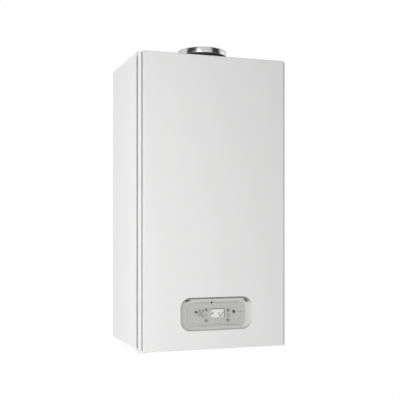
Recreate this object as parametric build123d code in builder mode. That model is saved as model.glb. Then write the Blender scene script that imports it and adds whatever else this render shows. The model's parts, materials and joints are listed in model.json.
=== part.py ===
"""Wall-hung condensing combi boiler, built as its separate pieces.

Millimetres, +Z up, +X to the right seen from the front, +Y into the wall. The wall is the plane Y = 0
and the origin is the centre of the wall bracket's four screw holes, on the wall.
Heights named *_H0 or given to up() are measured from the casing's bottom edge, and depths named
*_D are distances in front of the wall.
"""
from build123d import *
import math
import os

os.makedirs("parts", exist_ok=True)

# ---------------------------------------------------------------- clearances
GAP = 0.3  # between pieces that lie beside each other
RUN_FIT = 0.05  # radial clearance of a shaft in its bearing

# ---------------------------------------------------------------- casing
CASE_W = 400.0  # across the side panels
CASE_H = 770.0  # side panels, bottom edge to top edge
CASE_D = 325.0  # wall to the cover's front face
SHEET = 1.2  # steel sheet of the casing
COVER_DROP = 5.0  # cover's top edge below the side panels' top edge
COVER_RETURN = 39.0  # depth of the cover's four side walls
SHADOW_GAP = 5.0  # between the cover's side wall and the side panel
COVER_CORNER_R = 8.0  # rounded upright edges of the cover
COVER_EDGE_R = 3.0  # top and bottom front edges of the cover
FLANGE = 14.0  # folded front edges of the panels
PANEL_BACK_R = 5.0  # top back corner of a side panel
TONGUE_X = 120.0  # cover's two tongues, left and right of the centre line
TONGUE_W = 30.0
TONGUE_L = 12.0
SCREWS_BELOW_TOP = 50.0  # wall bracket's holes below the casing's top edge
BACK_SET = 12.0  # back plate in front of the wall, to house the bracket

HALF_W = CASE_W / 2
INNER_X = HALF_W - SHEET
COVER_H = CASE_H - COVER_DROP
BODY_D = CASE_D - COVER_RETURN - SHADOW_GAP
BACK_FRONT_D = BACK_SET + SHEET

# ---------------------------------------------------------------- wall bracket
BRACKET_W = 300.0
BRACKET_H = 70.0
BRACKET_T = 2.5
SCREW_SPAN_X = 240.0
SCREW_SPAN_Z = 40.0
SCREW_R = 4.0
HOOK_X = 90.0  # hooks left and right of the centre line
HOOK_W = 40.0
HOOK_UP = 12.0  # hook's lip above its arm
HOOK_BELOW_TOP = 38.0  # hook's arm below the casing's top edge

# ---------------------------------------------------------------- control window in the cover
WINDOW_X = 3.4  # centre of the window, right of the centre line
WINDOW_H0 = 92.2  # centre of the window above the bottom edge
WINDOW_W = 198.4
WINDOW_H = 86.4
WINDOW_R = 27.0
DISH_LEFT = 23.0  # widths of the dish's four sloping sides
DISH_RIGHT = 17.5
DISH_TOP = 15.5
DISH_BOTTOM = 11.2
DISH_DEPTH = 10.0  # dish floor behind the cover's front face
DISH_FLOOR_R = 12.0
DISH_RIM_IN = 3.0  # steep rim round the dish, seen from the front
DISH_RIM_DEEP = 4.5

# ---------------------------------------------------------------- flue
FLUE_BEHIND_FRONT = 110.0  # flue axis behind the cover's front face
AIR_PIPE_R = 50.0  # outer pipe of the flue
EXHAUST_R = 30.0  # inner pipe of the flue
SOCKET_PLAY = 0.5  # radial play of the flue pipes in their sockets
COLLAR_R = 67.5
COLLAR_H = 16.0
COLLAR_EDGE_R = 4.0
GASKET_R = 65.0
GASKET_H = 12.5
SOCKET_WALL = 3.0
SOCKET_BELOW = 24.0  # flue socket's lower end below the casing's top edge
SOCKET_RIB_T = 2.5
PIPE_WALL = 2.0

FLUE_D = CASE_D - FLUE_BEHIND_FRONT


def up(height):
    """Z of a point at a height above the casing's bottom edge."""
    return height - (CASE_H - SCREWS_BELOW_TOP)


def level(height):
    """Horizontal plane at a height above the casing's bottom edge."""
    return Plane.XY.offset(up(height))


def front_plane(depth):
    """Upright plane at a distance in front of the wall, facing the front."""
    return Plane.XZ.offset(depth)


def save(piece, name):
    """Label a finished piece and write its own file."""
    piece.part.label = name
    export_step(piece.part, f"parts/{name}.step")


def bent_pipe(corners, bends, outer_r, inner_r=0.0):
    """Pipe along straight runs joined by arcs; corners are (x, depth, height above the bottom edge)."""
    points = [(x, -depth, up(height)) for x, depth, height in corners]
    with BuildPart() as pipe:
        with BuildLine() as route:
            if len(points) > 2:
                FilletPolyline(*points, radius=bends)
            else:
                Line(*points)
        with BuildSketch(Plane(origin=route.line @ 0, z_dir=route.line % 0)):
            Circle(outer_r)
            if inner_r:
                Circle(inner_r, mode=Mode.SUBTRACT)
        sweep(path=route.line)
    return pipe


# ================================================================ casing
for side_name, side in (("left_side_panel", -1), ("right_side_panel", 1)):
    with BuildPart() as side_panel:
        with BuildSketch(level(0)):
            with Locations((side * (HALF_W - SHEET / 2), -BODY_D / 2)):
                Rectangle(SHEET, BODY_D)
            with Locations((side * (INNER_X - FLANGE / 2), -BODY_D + SHEET / 2)):
                Rectangle(FLANGE, SHEET)
        extrude(amount=CASE_H)
        back_edges = side_panel.edges().filter_by(Axis.X).group_by(Axis.Y)[-1]
        fillet(back_edges.sort_by(Axis.Z)[-1], radius=PANEL_BACK_R)
    save(side_panel, side_name)

PANEL_X = INNER_X - GAP  # half width of what lies between the side panels
FRONT_FLANGE_X = INNER_X - FLANGE - GAP

with BuildPart() as top_panel:
    with BuildSketch(level(CASE_H - SHEET)):
        with Locations((0, -(BODY_D - SHEET - GAP) / 2)):
            Rectangle(2 * PANEL_X, BODY_D - SHEET - GAP)
        with Locations((0, -BODY_D / 2)):
            Rectangle(2 * FRONT_FLANGE_X, BODY_D)
        with Locations((0, -FLUE_D)):
            Circle(AIR_PIPE_R + 2 * SOCKET_PLAY, mode=Mode.SUBTRACT)
    extrude(amount=SHEET)
    with BuildSketch(level(CASE_H - FLANGE)):
        with Locations((0, -BODY_D + SHEET / 2)):
            Rectangle(2 * FRONT_FLANGE_X, SHEET)
    extrude(amount=FLANGE - SHEET)
    with BuildSketch(level(COVER_H - SHEET - GAP)):
        with Locations((0, -BODY_D + SHEET / 2)):
            with GridLocations(2 * TONGUE_X, 1, 2, 1):
                Rectangle(TONGUE_W + 2 * GAP, SHEET)
    extrude(amount=SHEET + 2 * GAP, mode=Mode.SUBTRACT)
save(top_panel, "top_panel")

# Back plate: a tray that stands on the wall by its folded edges and carries two upright rails
RAIL_X = INNER_X - 20.0
RAIL_D = 95.0
RAIL_H0 = 300.0

with BuildPart() as back_plate:
    with BuildSketch(level(SHEET + GAP)):
        with Locations((0, -BACK_SET - SHEET / 2)):
            Rectangle(2 * PANEL_X, SHEET)
        for side in (-1, 1):
            with Locations((side * (PANEL_X - SHEET / 2), -BACK_SET / 2)):
                Rectangle(SHEET, BACK_SET)
    extrude(amount=CASE_H - 2 * SHEET - 2 * GAP)
    with BuildSketch(level(RAIL_H0)):
        for side in (-1, 1):
            with Locations((side * (RAIL_X + SHEET / 2), -(BACK_FRONT_D + RAIL_D) / 2)):
                Rectangle(SHEET, RAIL_D - BACK_FRONT_D)
    extrude(amount=CASE_H - RAIL_H0 - FLANGE)
    window_tall = HOOK_UP + BRACKET_T + 2
    with BuildSketch(front_plane(BACK_SET)):
        with Locations((0, up(CASE_H - HOOK_BELOW_TOP) + GAP - window_tall / 2)):
            with GridLocations(2 * HOOK_X, 1, 2, 1):
                Rectangle(HOOK_W + 4, window_tall)
    extrude(amount=SHEET, mode=Mode.SUBTRACT)
save(back_plate, "back_plate")

# Wall bracket: a drilled plate with two hooks that reach through the back plate's windows.
# The upper edges of those windows hang on the hooks' arms.
with BuildPart() as wall_bracket:
    with BuildSketch(front_plane(0)):
        Rectangle(BRACKET_W, BRACKET_H)
        with GridLocations(SCREW_SPAN_X, SCREW_SPAN_Z, 2, 2):
            Circle(SCREW_R, mode=Mode.SUBTRACT)
    extrude(amount=BRACKET_T)
    arm_length = BACK_FRONT_D + GAP - BRACKET_T
    arm_z = up(CASE_H - HOOK_BELOW_TOP)
    for side in (-1, 1):
        with BuildSketch(Plane.XY.offset(arm_z - BRACKET_T)):
            with Locations((side * HOOK_X, -BRACKET_T - (arm_length + BRACKET_T) / 2)):
                Rectangle(HOOK_W, arm_length + BRACKET_T)
        extrude(amount=BRACKET_T)
        with BuildSketch(Plane.XY.offset(arm_z)):
            with Locations((side * HOOK_X, -BRACKET_T - arm_length - BRACKET_T / 2)):
                Rectangle(HOOK_W, BRACKET_T)
        extrude(amount=HOOK_UP)
save(wall_bracket, "wall_bracket")

# Front cover: a shallow tray of sheet with four side walls, the control window and two tongues that
# slip into slots of the top panel's folded edge
with BuildPart() as front_cover:
    with BuildSketch(front_plane(CASE_D - COVER_RETURN)):
        with Locations((0, up(COVER_H / 2))):
            Rectangle(CASE_W, COVER_H)
    extrude(amount=COVER_RETURN)
    fillet(front_cover.edges().filter_by(Axis.Z).group_by(Axis.Y)[0], radius=COVER_CORNER_R)
    front_rim = front_cover.faces().sort_by(Axis.Y)[0].edges().filter_by(Axis.X)
    fillet(front_rim, radius=COVER_EDGE_R)
    offset(amount=-SHEET, openings=front_cover.faces().sort_by(Axis.Y)[-1])
    with BuildSketch(front_plane(CASE_D)):
        with Locations((WINDOW_X, up(WINDOW_H0))):
            RectangleRounded(WINDOW_W, WINDOW_H, WINDOW_R)
    extrude(amount=-SHEET, mode=Mode.SUBTRACT)
    with BuildSketch(level(COVER_H - SHEET)):
        with Locations((0, -CASE_D + COVER_RETURN + TONGUE_L / 2 - 1)):
            with GridLocations(2 * TONGUE_X, 1, 2, 1):
                Rectangle(TONGUE_W, TONGUE_L + 2)
    extrude(amount=SHEET)
save(front_cover, "front_cover")

# Foam seal on the folded front edges, seen from outside as the dark line behind the cover
SEAL_INSET = 0.5
SEAL_W = 11.5
SEAL_T = SHADOW_GAP - GAP

with BuildPart() as cover_seal:
    with BuildSketch(front_plane(BODY_D)):
        with Locations((0, up(COVER_H / 2))):
            Rectangle(CASE_W - 2 * SEAL_INSET, COVER_H - 2 * SEAL_INSET)
            Rectangle(CASE_W - 2 * SEAL_INSET - 2 * SEAL_W, COVER_H - 2 * SEAL_INSET - 2 * SEAL_W,
                      mode=Mode.SUBTRACT)
    extrude(amount=SEAL_T)
    with BuildSketch(front_plane(BODY_D)):
        with Locations((0, up(COVER_H))):
            with GridLocations(2 * TONGUE_X, 1, 2, 1):
                Rectangle(TONGUE_W + 2 * GAP, 2 * SHEET + 2 * GAP)
    extrude(amount=SEAL_T, mode=Mode.SUBTRACT)
save(cover_seal, "cover_seal")

# ================================================================ flue
with BuildPart() as flue_gasket:
    with BuildSketch(level(CASE_H)):
        with Locations((0, -FLUE_D)):
            Circle(GASKET_R)
            Circle(AIR_PIPE_R + 2 * SOCKET_PLAY, mode=Mode.SUBTRACT)
    extrude(amount=GASKET_H)
save(flue_gasket, "flue_gasket")

with BuildPart() as flue_collar:
    with BuildSketch(level(CASE_H + GASKET_H)):
        with Locations((0, -FLUE_D)):
            Circle(COLLAR_R)
            Circle(AIR_PIPE_R + SOCKET_PLAY, mode=Mode.SUBTRACT)
    extrude(amount=COLLAR_H)
    top_edges = flue_collar.faces().sort_by(Axis.Z)[-1].edges().sort_by(SortBy.RADIUS)
    fillet(top_edges[-1], radius=COLLAR_EDGE_R)
    chamfer(top_edges[0], length=1.5)
save(flue_collar, "flue_collar")

SOCKET_R = EXHAUST_R + SOCKET_PLAY + SOCKET_WALL
SOCKET_LIP = 6.0  # shoulder at the socket's foot that the flue's inner pipe stands on

with BuildPart() as flue_socket:
    with BuildSketch(level(CASE_H - SOCKET_BELOW)):
        with Locations((0, -FLUE_D)):
            Circle(SOCKET_R)
            Circle(EXHAUST_R - PIPE_WALL, mode=Mode.SUBTRACT)
    extrude(amount=SOCKET_LIP)
    with BuildSketch(level(CASE_H - SOCKET_BELOW + SOCKET_LIP)):
        with Locations((0, -FLUE_D)):
            Circle(SOCKET_R)
            Circle(EXHAUST_R + SOCKET_PLAY, mode=Mode.SUBTRACT)
    extrude(amount=SOCKET_BELOW - SOCKET_LIP + GASKET_H + COLLAR_H / 2)
    rib_reach = AIR_PIPE_R + 2 * SOCKET_PLAY - GAP
    with BuildSketch(level(CASE_H + 1)):
        with Locations((0, -FLUE_D)):
            with PolarLocations(0, 3, start_angle=90):
                with Locations(((SOCKET_R + rib_reach - 1) / 2, 0)):
                    Rectangle(rib_reach - SOCKET_R + 1, SOCKET_RIB_T)
    extrude(amount=GASKET_H - 2)
save(flue_socket, "flue_socket")

# ================================================================ expansion vessel, behind everything
VESSEL_W = 330.0
VESSEL_H = 400.0
VESSEL_T = 60.0
VESSEL_CORNER_R = 70.0
VESSEL_EDGE_R = 18.0
VESSEL_TOP_BELOW = 40.0  # vessel's top below the casing's top edge
SEAM_OUT = 4.0
SEAM_T = 4.0
VESSEL_PORT_X = 60.0
VESSEL_PORT_R = 8.0
VESSEL_PORT_L = 10.0

VESSEL_D0 = BACK_FRONT_D + GAP
VESSEL_FRONT_D = VESSEL_D0 + VESSEL_T
VESSEL_H0 = CASE_H - VESSEL_TOP_BELOW - VESSEL_H
VESSEL_MID_D = VESSEL_D0 + VESSEL_T / 2
vessel_centre = (0, up(VESSEL_H0 + VESSEL_H / 2))

with BuildPart() as expansion_vessel:
    with BuildSketch(front_plane(VESSEL_D0)):
        with Locations(vessel_centre):
            RectangleRounded(VESSEL_W, VESSEL_H, VESSEL_CORNER_R)
    extrude(amount=VESSEL_T)
    fillet(expansion_vessel.faces().sort_by(Axis.Y)[0].edges(), radius=VESSEL_EDGE_R)
    fillet(expansion_vessel.faces().sort_by(Axis.Y)[-1].edges(), radius=VESSEL_EDGE_R)
    with BuildSketch(front_plane(VESSEL_MID_D - SEAM_T / 2)):
        with Locations(vessel_centre):
            RectangleRounded(VESSEL_W + 2 * SEAM_OUT, VESSEL_H + 2 * SEAM_OUT, VESSEL_CORNER_R + SEAM_OUT)
    extrude(amount=SEAM_T)
    with BuildSketch(level(VESSEL_H0 - VESSEL_PORT_L)):
        with Locations((VESSEL_PORT_X, -VESSEL_MID_D)):
            Circle(VESSEL_PORT_R)
    extrude(amount=VESSEL_PORT_L + VESSEL_EDGE_R)
save(expansion_vessel, "expansion_vessel")

# ================================================================ heat exchanger and burner
DRUM_R = 115.0
DRUM_L = 132.0
DRUM_WALL = 4.0
DRUM_H0 = 540.0
DRUM_SIDE = 24.0  # drum clear of the left side panel
DRUM_BEHIND = 6.5  # mounting plate clear of the expansion vessel
FLANGE_R = 120.0  # drum's front flange, under the burner door
FLANGE_T = 10.0
MOUNT_T = 4.0
MOUNT_H = 80.0
WATER_PORT_R = 11.0
WATER_PORT_L = 10.0  # water ports' reach below the drum
FLOW_PORT_X = -130.0
FLOW_PORT_D = 150.0
RETURN_PORT_X = 0.0
RETURN_PORT_D = 180.0
SUMP_R = 9.0
SUMP_D = 190.0
BORE_WALL = 2.5

DRUM_X = -INNER_X + DRUM_SIDE + DRUM_R
MOUNT_D = VESSEL_FRONT_D + DRUM_BEHIND
DRUM_D0 = MOUNT_D + MOUNT_T
DRUM_FRONT_D = DRUM_D0 + DRUM_L
DRUM_BOTTOM_H0 = DRUM_H0 - DRUM_R

# ---------------------------------------------------------------- fan, measured from the right side panel
VOLUTE_R = 66.0
VOLUTE_WALL = 6.0
VOLUTE_T = 50.0
VOLUTE_SHELL = 3.0
VOLUTE_SIDE = 4.8  # volute clear of the right side panel
DUCT_R = 22.0
DUCT_WALL = 2.0
DUCT_BEND = 30.0
DOOR_T = 12.0
DOOR_NECK = 10.0
EXHAUST_BEHIND_FAN = 2.4
FAN_DEPTH = 215.0

FAN_X = INNER_X - VOLUTE_SIDE - VOLUTE_R
FAN_D = FAN_DEPTH
FAN_BOTTOM_H0 = DRUM_H0 - VOLUTE_T / 2
FAN_TOP_H0 = DRUM_H0 + VOLUTE_T / 2
DOOR_FRONT_D = DRUM_FRONT_D + DOOR_T
DUCT_D = DOOR_FRONT_D + DOOR_NECK + DUCT_BEND + 4
EXHAUST_D = FAN_D - VOLUTE_R - EXHAUST_BEHIND_FAN - EXHAUST_R
EXHAUST_H0 = DRUM_H0 - 85  # exhaust outlet, low on the drum's right side
EXHAUST_TOP_H0 = CASE_H - 70
EXHAUST_START_X = DRUM_X + DRUM_R
EXHAUST_RUN = 64.8  # from the drum's wall to the upright pipe's axis
EXHAUST_X = EXHAUST_START_X + EXHAUST_RUN

with BuildPart() as heat_exchanger:
    with BuildSketch(front_plane(MOUNT_D)):
        with Locations((0, up(DRUM_H0))):
            Rectangle(2 * (RAIL_X - GAP), MOUNT_H)
    extrude(amount=MOUNT_T)
    with BuildSketch(front_plane(DRUM_D0)):
        with Locations((DRUM_X, up(DRUM_H0))):
            Circle(DRUM_R)
    extrude(amount=DRUM_L)
    with BuildSketch(front_plane(DRUM_FRONT_D - FLANGE_T)):
        with Locations((DRUM_X, up(DRUM_H0))):
            Circle(FLANGE_R)
    extrude(amount=FLANGE_T)
    for port_x, port_d in ((FLOW_PORT_X, FLOW_PORT_D), (RETURN_PORT_X, RETURN_PORT_D)):
        drop = math.sqrt(DRUM_R ** 2 - (port_x - DRUM_X) ** 2)
        with BuildSketch(level(DRUM_H0 - drop - WATER_PORT_L)):
            with Locations((port_x, -port_d)):
                Circle(WATER_PORT_R)
        extrude(amount=WATER_PORT_L + drop / 2)
    with BuildSketch(level(DRUM_BOTTOM_H0 - WATER_PORT_L)):
        with Locations((DRUM_X, -SUMP_D)):
            Circle(SUMP_R)
    extrude(amount=WATER_PORT_L + DRUM_WALL)
    with BuildSketch(Plane.YZ.offset(DRUM_X)):
        with Locations((-EXHAUST_D, up(EXHAUST_H0))):
            Circle(EXHAUST_R)
    extrude(amount=EXHAUST_START_X - DRUM_X)
    with BuildSketch(front_plane(DRUM_D0 + DRUM_WALL)):
        with Locations((DRUM_X, up(DRUM_H0))):
            Circle(DRUM_R - DRUM_WALL)
    extrude(amount=DRUM_L, mode=Mode.SUBTRACT)
    with BuildSketch(Plane.YZ.offset(DRUM_X)):
        with Locations((-EXHAUST_D, up(EXHAUST_H0))):
            Circle(EXHAUST_R - PIPE_WALL)
    extrude(amount=EXHAUST_START_X - DRUM_X, mode=Mode.SUBTRACT)
    with BuildSketch(level(DRUM_BOTTOM_H0 - WATER_PORT_L)):
        with Locations((DRUM_X, -SUMP_D)):
            Circle(SUMP_R - BORE_WALL)
    extrude(amount=WATER_PORT_L + 2 * DRUM_WALL, mode=Mode.SUBTRACT)
save(heat_exchanger, "heat_exchanger")

# Wound water tube inside the drum: flattened turns side by side, held by welded spacers outside
COIL_INNER_R = 62.0
COIL_OUTER_R = 104.0
COIL_TURNS = 9
COIL_PITCH = 12.0
COIL_TUBE = 9.0
COIL_D0 = DRUM_D0 + DRUM_WALL + 4

with BuildPart() as heat_coil:
    for turn in range(COIL_TURNS):
        with BuildSketch(front_plane(COIL_D0 + turn * COIL_PITCH)):
            with Locations((DRUM_X, up(DRUM_H0))):
                Circle(COIL_OUTER_R)
                Circle(COIL_INNER_R, mode=Mode.SUBTRACT)
        extrude(amount=COIL_TUBE)
    spacer_r = DRUM_R - DRUM_WALL - GAP
    with BuildSketch(front_plane(COIL_D0)):
        with Locations((DRUM_X, up(DRUM_H0))):
            with PolarLocations(0, 4, start_angle=45):
                with Locations(((spacer_r + COIL_OUTER_R) / 2 - 2, 0)):
                    Rectangle(spacer_r - COIL_OUTER_R + 4 - 1, 8)
    extrude(amount=(COIL_TURNS - 1) * COIL_PITCH + COIL_TUBE)
save(heat_coil, "heat_coil")

# Burner door: cast plate with the mixture's inlet neck, holes for the electrodes and a ring of nuts
ELECTRODE_R = 5.0
ELECTRODE_OFF = 48.0  # from the burner's axis
ELECTRODE_ANGLES = (60, 120)
DOOR_NUTS = 6
DOOR_NUT_R = 5.0
DOOR_R = FLANGE_R - 2
NUT_CIRCLE_R = DOOR_R - 9

with BuildPart() as burner_door:
    with BuildSketch(front_plane(DRUM_FRONT_D)):
        with Locations((DRUM_X, up(DRUM_H0))):
            Circle(DOOR_R)
    extrude(amount=DOOR_T)
    fillet(burner_door.faces().sort_by(Axis.Y)[0].edges(), radius=3)
    with BuildSketch(front_plane(DOOR_FRONT_D)):
        with Locations((DRUM_X, up(DRUM_H0))):
            Circle(DUCT_R + 4)
            with PolarLocations(0, DOOR_NUTS, start_angle=30):
                with Locations(((NUT_CIRCLE_R + DUCT_R) / 2, 0)):
                    Rectangle(NUT_CIRCLE_R - DUCT_R, 5)
    extrude(amount=5)
    with BuildSketch(front_plane(DOOR_FRONT_D)):
        with Locations((DRUM_X, up(DRUM_H0))):
            Circle(DUCT_R)
            with PolarLocations(NUT_CIRCLE_R, DOOR_NUTS):
                RegularPolygon(DOOR_NUT_R, 6)
    extrude(amount=6)
    with BuildSketch(front_plane(DOOR_FRONT_D)):
        with Locations((DRUM_X, up(DRUM_H0))):
            Circle(DUCT_R)
    extrude(amount=DOOR_NECK)
    with BuildSketch(front_plane(DRUM_FRONT_D)):
        with Locations((DRUM_X, up(DRUM_H0))):
            Circle(DUCT_R - DUCT_WALL)
            for angle in ELECTRODE_ANGLES:
                with PolarLocations(ELECTRODE_OFF, 1, start_angle=angle):
                    Circle(ELECTRODE_R + GAP)
    extrude(amount=DOOR_T + DOOR_NECK, mode=Mode.SUBTRACT)
save(burner_door, "burner_door")

BURNER_R = 34.0
BURNER_L = 105.0
BURNER_SKIN = 1.5
BURNER_SLOTS = 12
BURNER_ROWS = 4

with BuildPart() as burner:
    with BuildSketch(front_plane(DRUM_FRONT_D - BURNER_L)):
        with Locations((DRUM_X, up(DRUM_H0))):
            Circle(BURNER_R)
    extrude(amount=BURNER_L)
    with BuildSketch(front_plane(DRUM_FRONT_D - 2)):
        with Locations((DRUM_X, up(DRUM_H0))):
            Circle(BURNER_R + 6)
    extrude(amount=2)
    with BuildSketch(front_plane(DRUM_FRONT_D - BURNER_L + BURNER_SKIN)):
        with Locations((DRUM_X, up(DRUM_H0))):
            Circle(BURNER_R - BURNER_SKIN)
    extrude(amount=BURNER_L, mode=Mode.SUBTRACT)
    for row in range(BURNER_ROWS):
        row_d = DRUM_FRONT_D - BURNER_L + BURNER_L * (row + 0.7) / (BURNER_ROWS + 0.5)
        with BuildSketch(front_plane(row_d)):
            with Locations((DRUM_X, up(DRUM_H0))):
                with PolarLocations(BURNER_R, BURNER_SLOTS):
                    Rectangle(6, 2)
        extrude(amount=BURNER_L / BURNER_ROWS / 2, mode=Mode.SUBTRACT)
save(burner, "burner")

ROD_R = 1.2
ROD_IN = 28.0  # electrode's wire behind the door
CERAMIC_OUT = 16.0  # electrode's ceramic in front of the door

with BuildPart() as electrodes:
    with BuildSketch(front_plane(DRUM_FRONT_D)):
        with Locations((DRUM_X, up(DRUM_H0))):
            for angle in ELECTRODE_ANGLES:
                with PolarLocations(ELECTRODE_OFF, 1, start_angle=angle):
                    Circle(ELECTRODE_R)
    extrude(amount=DOOR_T + CERAMIC_OUT)
    with BuildSketch(front_plane(DRUM_FRONT_D - ROD_IN)):
        with Locations((DRUM_X, up(DRUM_H0))):
            for angle in ELECTRODE_ANGLES:
                with PolarLocations(ELECTRODE_OFF, 1, start_angle=angle):
                    Circle(ROD_R)
    extrude(amount=ROD_IN + DOOR_T + CERAMIC_OUT + 8)
save(electrodes, "electrodes")

# ================================================================ fan, mixer and air intake
IMPELLER_R = 55.0
BLADES = 14
BLADE_T = 1.5
BLADE_IN_R = 28.0
BLADE_LEAN = 35.0
HUB_R = 10.0
FAN_SHAFT_R = 4.0
MOTOR_R = 38.0
MOTOR_H = 55.0
MOTOR_SHAFT_IN = 45.0
INLET_R = 24.0
MIXER_R = 32.0
MIXER_H = 56.0
THROAT_R = 17.0
GAS_PORT_R = 10.0
GAS_PORT_OUT = 15.0
GAS_PIPE_R = 6.0
GAS_PIPE_WALL = 1.0
OUTLET_LEFT = 70.0  # volute's outlet left of the fan's axis
SPIRAL_STEP = DUCT_D + DUCT_R + 3 - FAN_D - VOLUTE_R

fan_spot = (FAN_X, -FAN_D)

with BuildPart() as fan_housing:
    with BuildSketch(level(FAN_BOTTOM_H0)):
        with Locations(fan_spot, (FAN_X, -FAN_D - SPIRAL_STEP)):
            Circle(VOLUTE_R)
        with Locations((FAN_X - OUTLET_LEFT / 2, -DUCT_D)):
            Rectangle(OUTLET_LEFT, 2 * DUCT_R + 6)
    extrude(amount=VOLUTE_T)
    rim_edges = fan_housing.faces().sort_by(Axis.Z)[-1].edges().filter_by(GeomType.CIRCLE)
    fillet(rim_edges, radius=4)
    with BuildSketch(level(FAN_BOTTOM_H0 + VOLUTE_SHELL)):
        with Locations(fan_spot):
            Circle(VOLUTE_R - VOLUTE_WALL)
    extrude(amount=VOLUTE_T - 2 * VOLUTE_SHELL, mode=Mode.SUBTRACT)
    with BuildSketch(Plane.YZ.offset(FAN_X - OUTLET_LEFT)):
        with Locations((-DUCT_D, up(DRUM_H0))):
            Circle(DUCT_R - DUCT_WALL)
    extrude(amount=OUTLET_LEFT, mode=Mode.SUBTRACT)
    with BuildSketch(level(FAN_BOTTOM_H0)):
        with Locations(fan_spot):
            Circle(INLET_R)
    extrude(amount=VOLUTE_SHELL, mode=Mode.SUBTRACT)
    with BuildSketch(level(FAN_TOP_H0 - VOLUTE_SHELL)):
        with Locations(fan_spot):
            Circle(FAN_SHAFT_R + 3)
    extrude(amount=VOLUTE_SHELL, mode=Mode.SUBTRACT)
save(fan_housing, "fan_housing")

impeller_foot = FAN_BOTTOM_H0 + VOLUTE_SHELL + 3
impeller_tall = VOLUTE_T - 2 * VOLUTE_SHELL - 8

with BuildPart() as fan_impeller:
    with BuildSketch(level(impeller_foot)):
        with Locations(fan_spot):
            Circle(IMPELLER_R)
            Circle(IMPELLER_R - 15, mode=Mode.SUBTRACT)
    extrude(amount=2)
    with BuildSketch(level(impeller_foot + impeller_tall - 2)):
        with Locations(fan_spot):
            Circle(IMPELLER_R)
    extrude(amount=2)
    blade_mid_r = (BLADE_IN_R + IMPELLER_R) / 2
    blade_l = (IMPELLER_R - BLADE_IN_R) / math.cos(math.radians(BLADE_LEAN)) * 0.85
    with BuildSketch(level(impeller_foot + 1)):
        with Locations(fan_spot):
            with PolarLocations(blade_mid_r, BLADES):
                Rectangle(blade_l, BLADE_T, rotation=BLADE_LEAN)
    extrude(amount=impeller_tall - 2)
    with BuildSketch(level(impeller_foot + impeller_tall / 2)):
        with Locations(fan_spot):
            Circle(HUB_R)
    extrude(amount=impeller_tall / 2)
    shaft_foot = impeller_foot + impeller_tall
    with BuildSketch(level(shaft_foot)):
        with Locations(fan_spot):
            Circle(FAN_SHAFT_R)
    extrude(amount=FAN_TOP_H0 + MOTOR_SHAFT_IN - 2 - shaft_foot)
save(fan_impeller, "fan_impeller")

with BuildPart() as fan_motor:
    with BuildSketch(level(FAN_TOP_H0)):
        with Locations(fan_spot):
            Circle(MOTOR_R)
    extrude(amount=MOTOR_H)
    fillet(fan_motor.faces().sort_by(Axis.Z)[-1].edges(), radius=6)
    with BuildSketch(level(FAN_TOP_H0 + 10)):
        with Locations((FAN_X, -FAN_D - MOTOR_R - 4)):
            Rectangle(30, 20)
    extrude(amount=22)
    with BuildSketch(level(FAN_TOP_H0)):
        with Locations(fan_spot):
            Circle(FAN_SHAFT_R + RUN_FIT)
    extrude(amount=MOTOR_SHAFT_IN, mode=Mode.SUBTRACT)
save(fan_motor, "fan_motor")

mixing_duct = bent_pipe(
    [(FAN_X - OUTLET_LEFT, DUCT_D, DRUM_H0), (DRUM_X, DUCT_D, DRUM_H0), (DRUM_X, DOOR_FRONT_D + DOOR_NECK, DRUM_H0)],
    DUCT_BEND, DUCT_R, DUCT_R - DUCT_WALL)
save(mixing_duct, "mixing_duct")

MIXER_H0 = FAN_BOTTOM_H0 - MIXER_H

with BuildPart() as gas_mixer:
    with BuildSketch(level(MIXER_H0)):
        with Locations(fan_spot):
            Circle(MIXER_R)
    extrude(amount=MIXER_H)
    with BuildSketch(level(FAN_BOTTOM_H0 - 6)):
        with Locations(fan_spot):
            RectangleRounded(2 * MIXER_R + 12, 2 * MIXER_R + 12, 12)
    extrude(amount=6)
    with BuildSketch(front_plane(FAN_D)):
        with Locations((FAN_X, up(MIXER_H0 + MIXER_H / 2))):
            Circle(GAS_PORT_R)
    extrude(amount=MIXER_R + GAS_PORT_OUT)
    with BuildSketch(Plane.XZ.offset(FAN_D)):
        with BuildLine():
            Polyline(
                (FAN_X, up(MIXER_H0)),
                (FAN_X + INLET_R, up(MIXER_H0)),
                (FAN_X + THROAT_R, up(MIXER_H0 + MIXER_H * 0.4)),
                (FAN_X + THROAT_R, up(MIXER_H0 + MIXER_H * 0.6)),
                (FAN_X + INLET_R, up(FAN_BOTTOM_H0)),
                (FAN_X, up(FAN_BOTTOM_H0)),
                close=True,
            )
        make_face()
    revolve(axis=Axis((FAN_X, -FAN_D, 0), (0, 0, 1)), mode=Mode.SUBTRACT)
    with BuildSketch(front_plane(FAN_D)):
        with Locations((FAN_X, up(MIXER_H0 + MIXER_H / 2))):
            Circle(GAS_PIPE_R - GAS_PIPE_WALL)
    extrude(amount=MIXER_R + GAS_PORT_OUT, mode=Mode.SUBTRACT)
save(gas_mixer, "gas_mixer")

SILENCER_W = 110.0
SILENCER_H = 74.0
SILENCER_WALL = 2.5
SILENCER_H0 = MIXER_H0 - SILENCER_H
MOUTH_W = 60.0
MOUTH_H = 30.0

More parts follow.
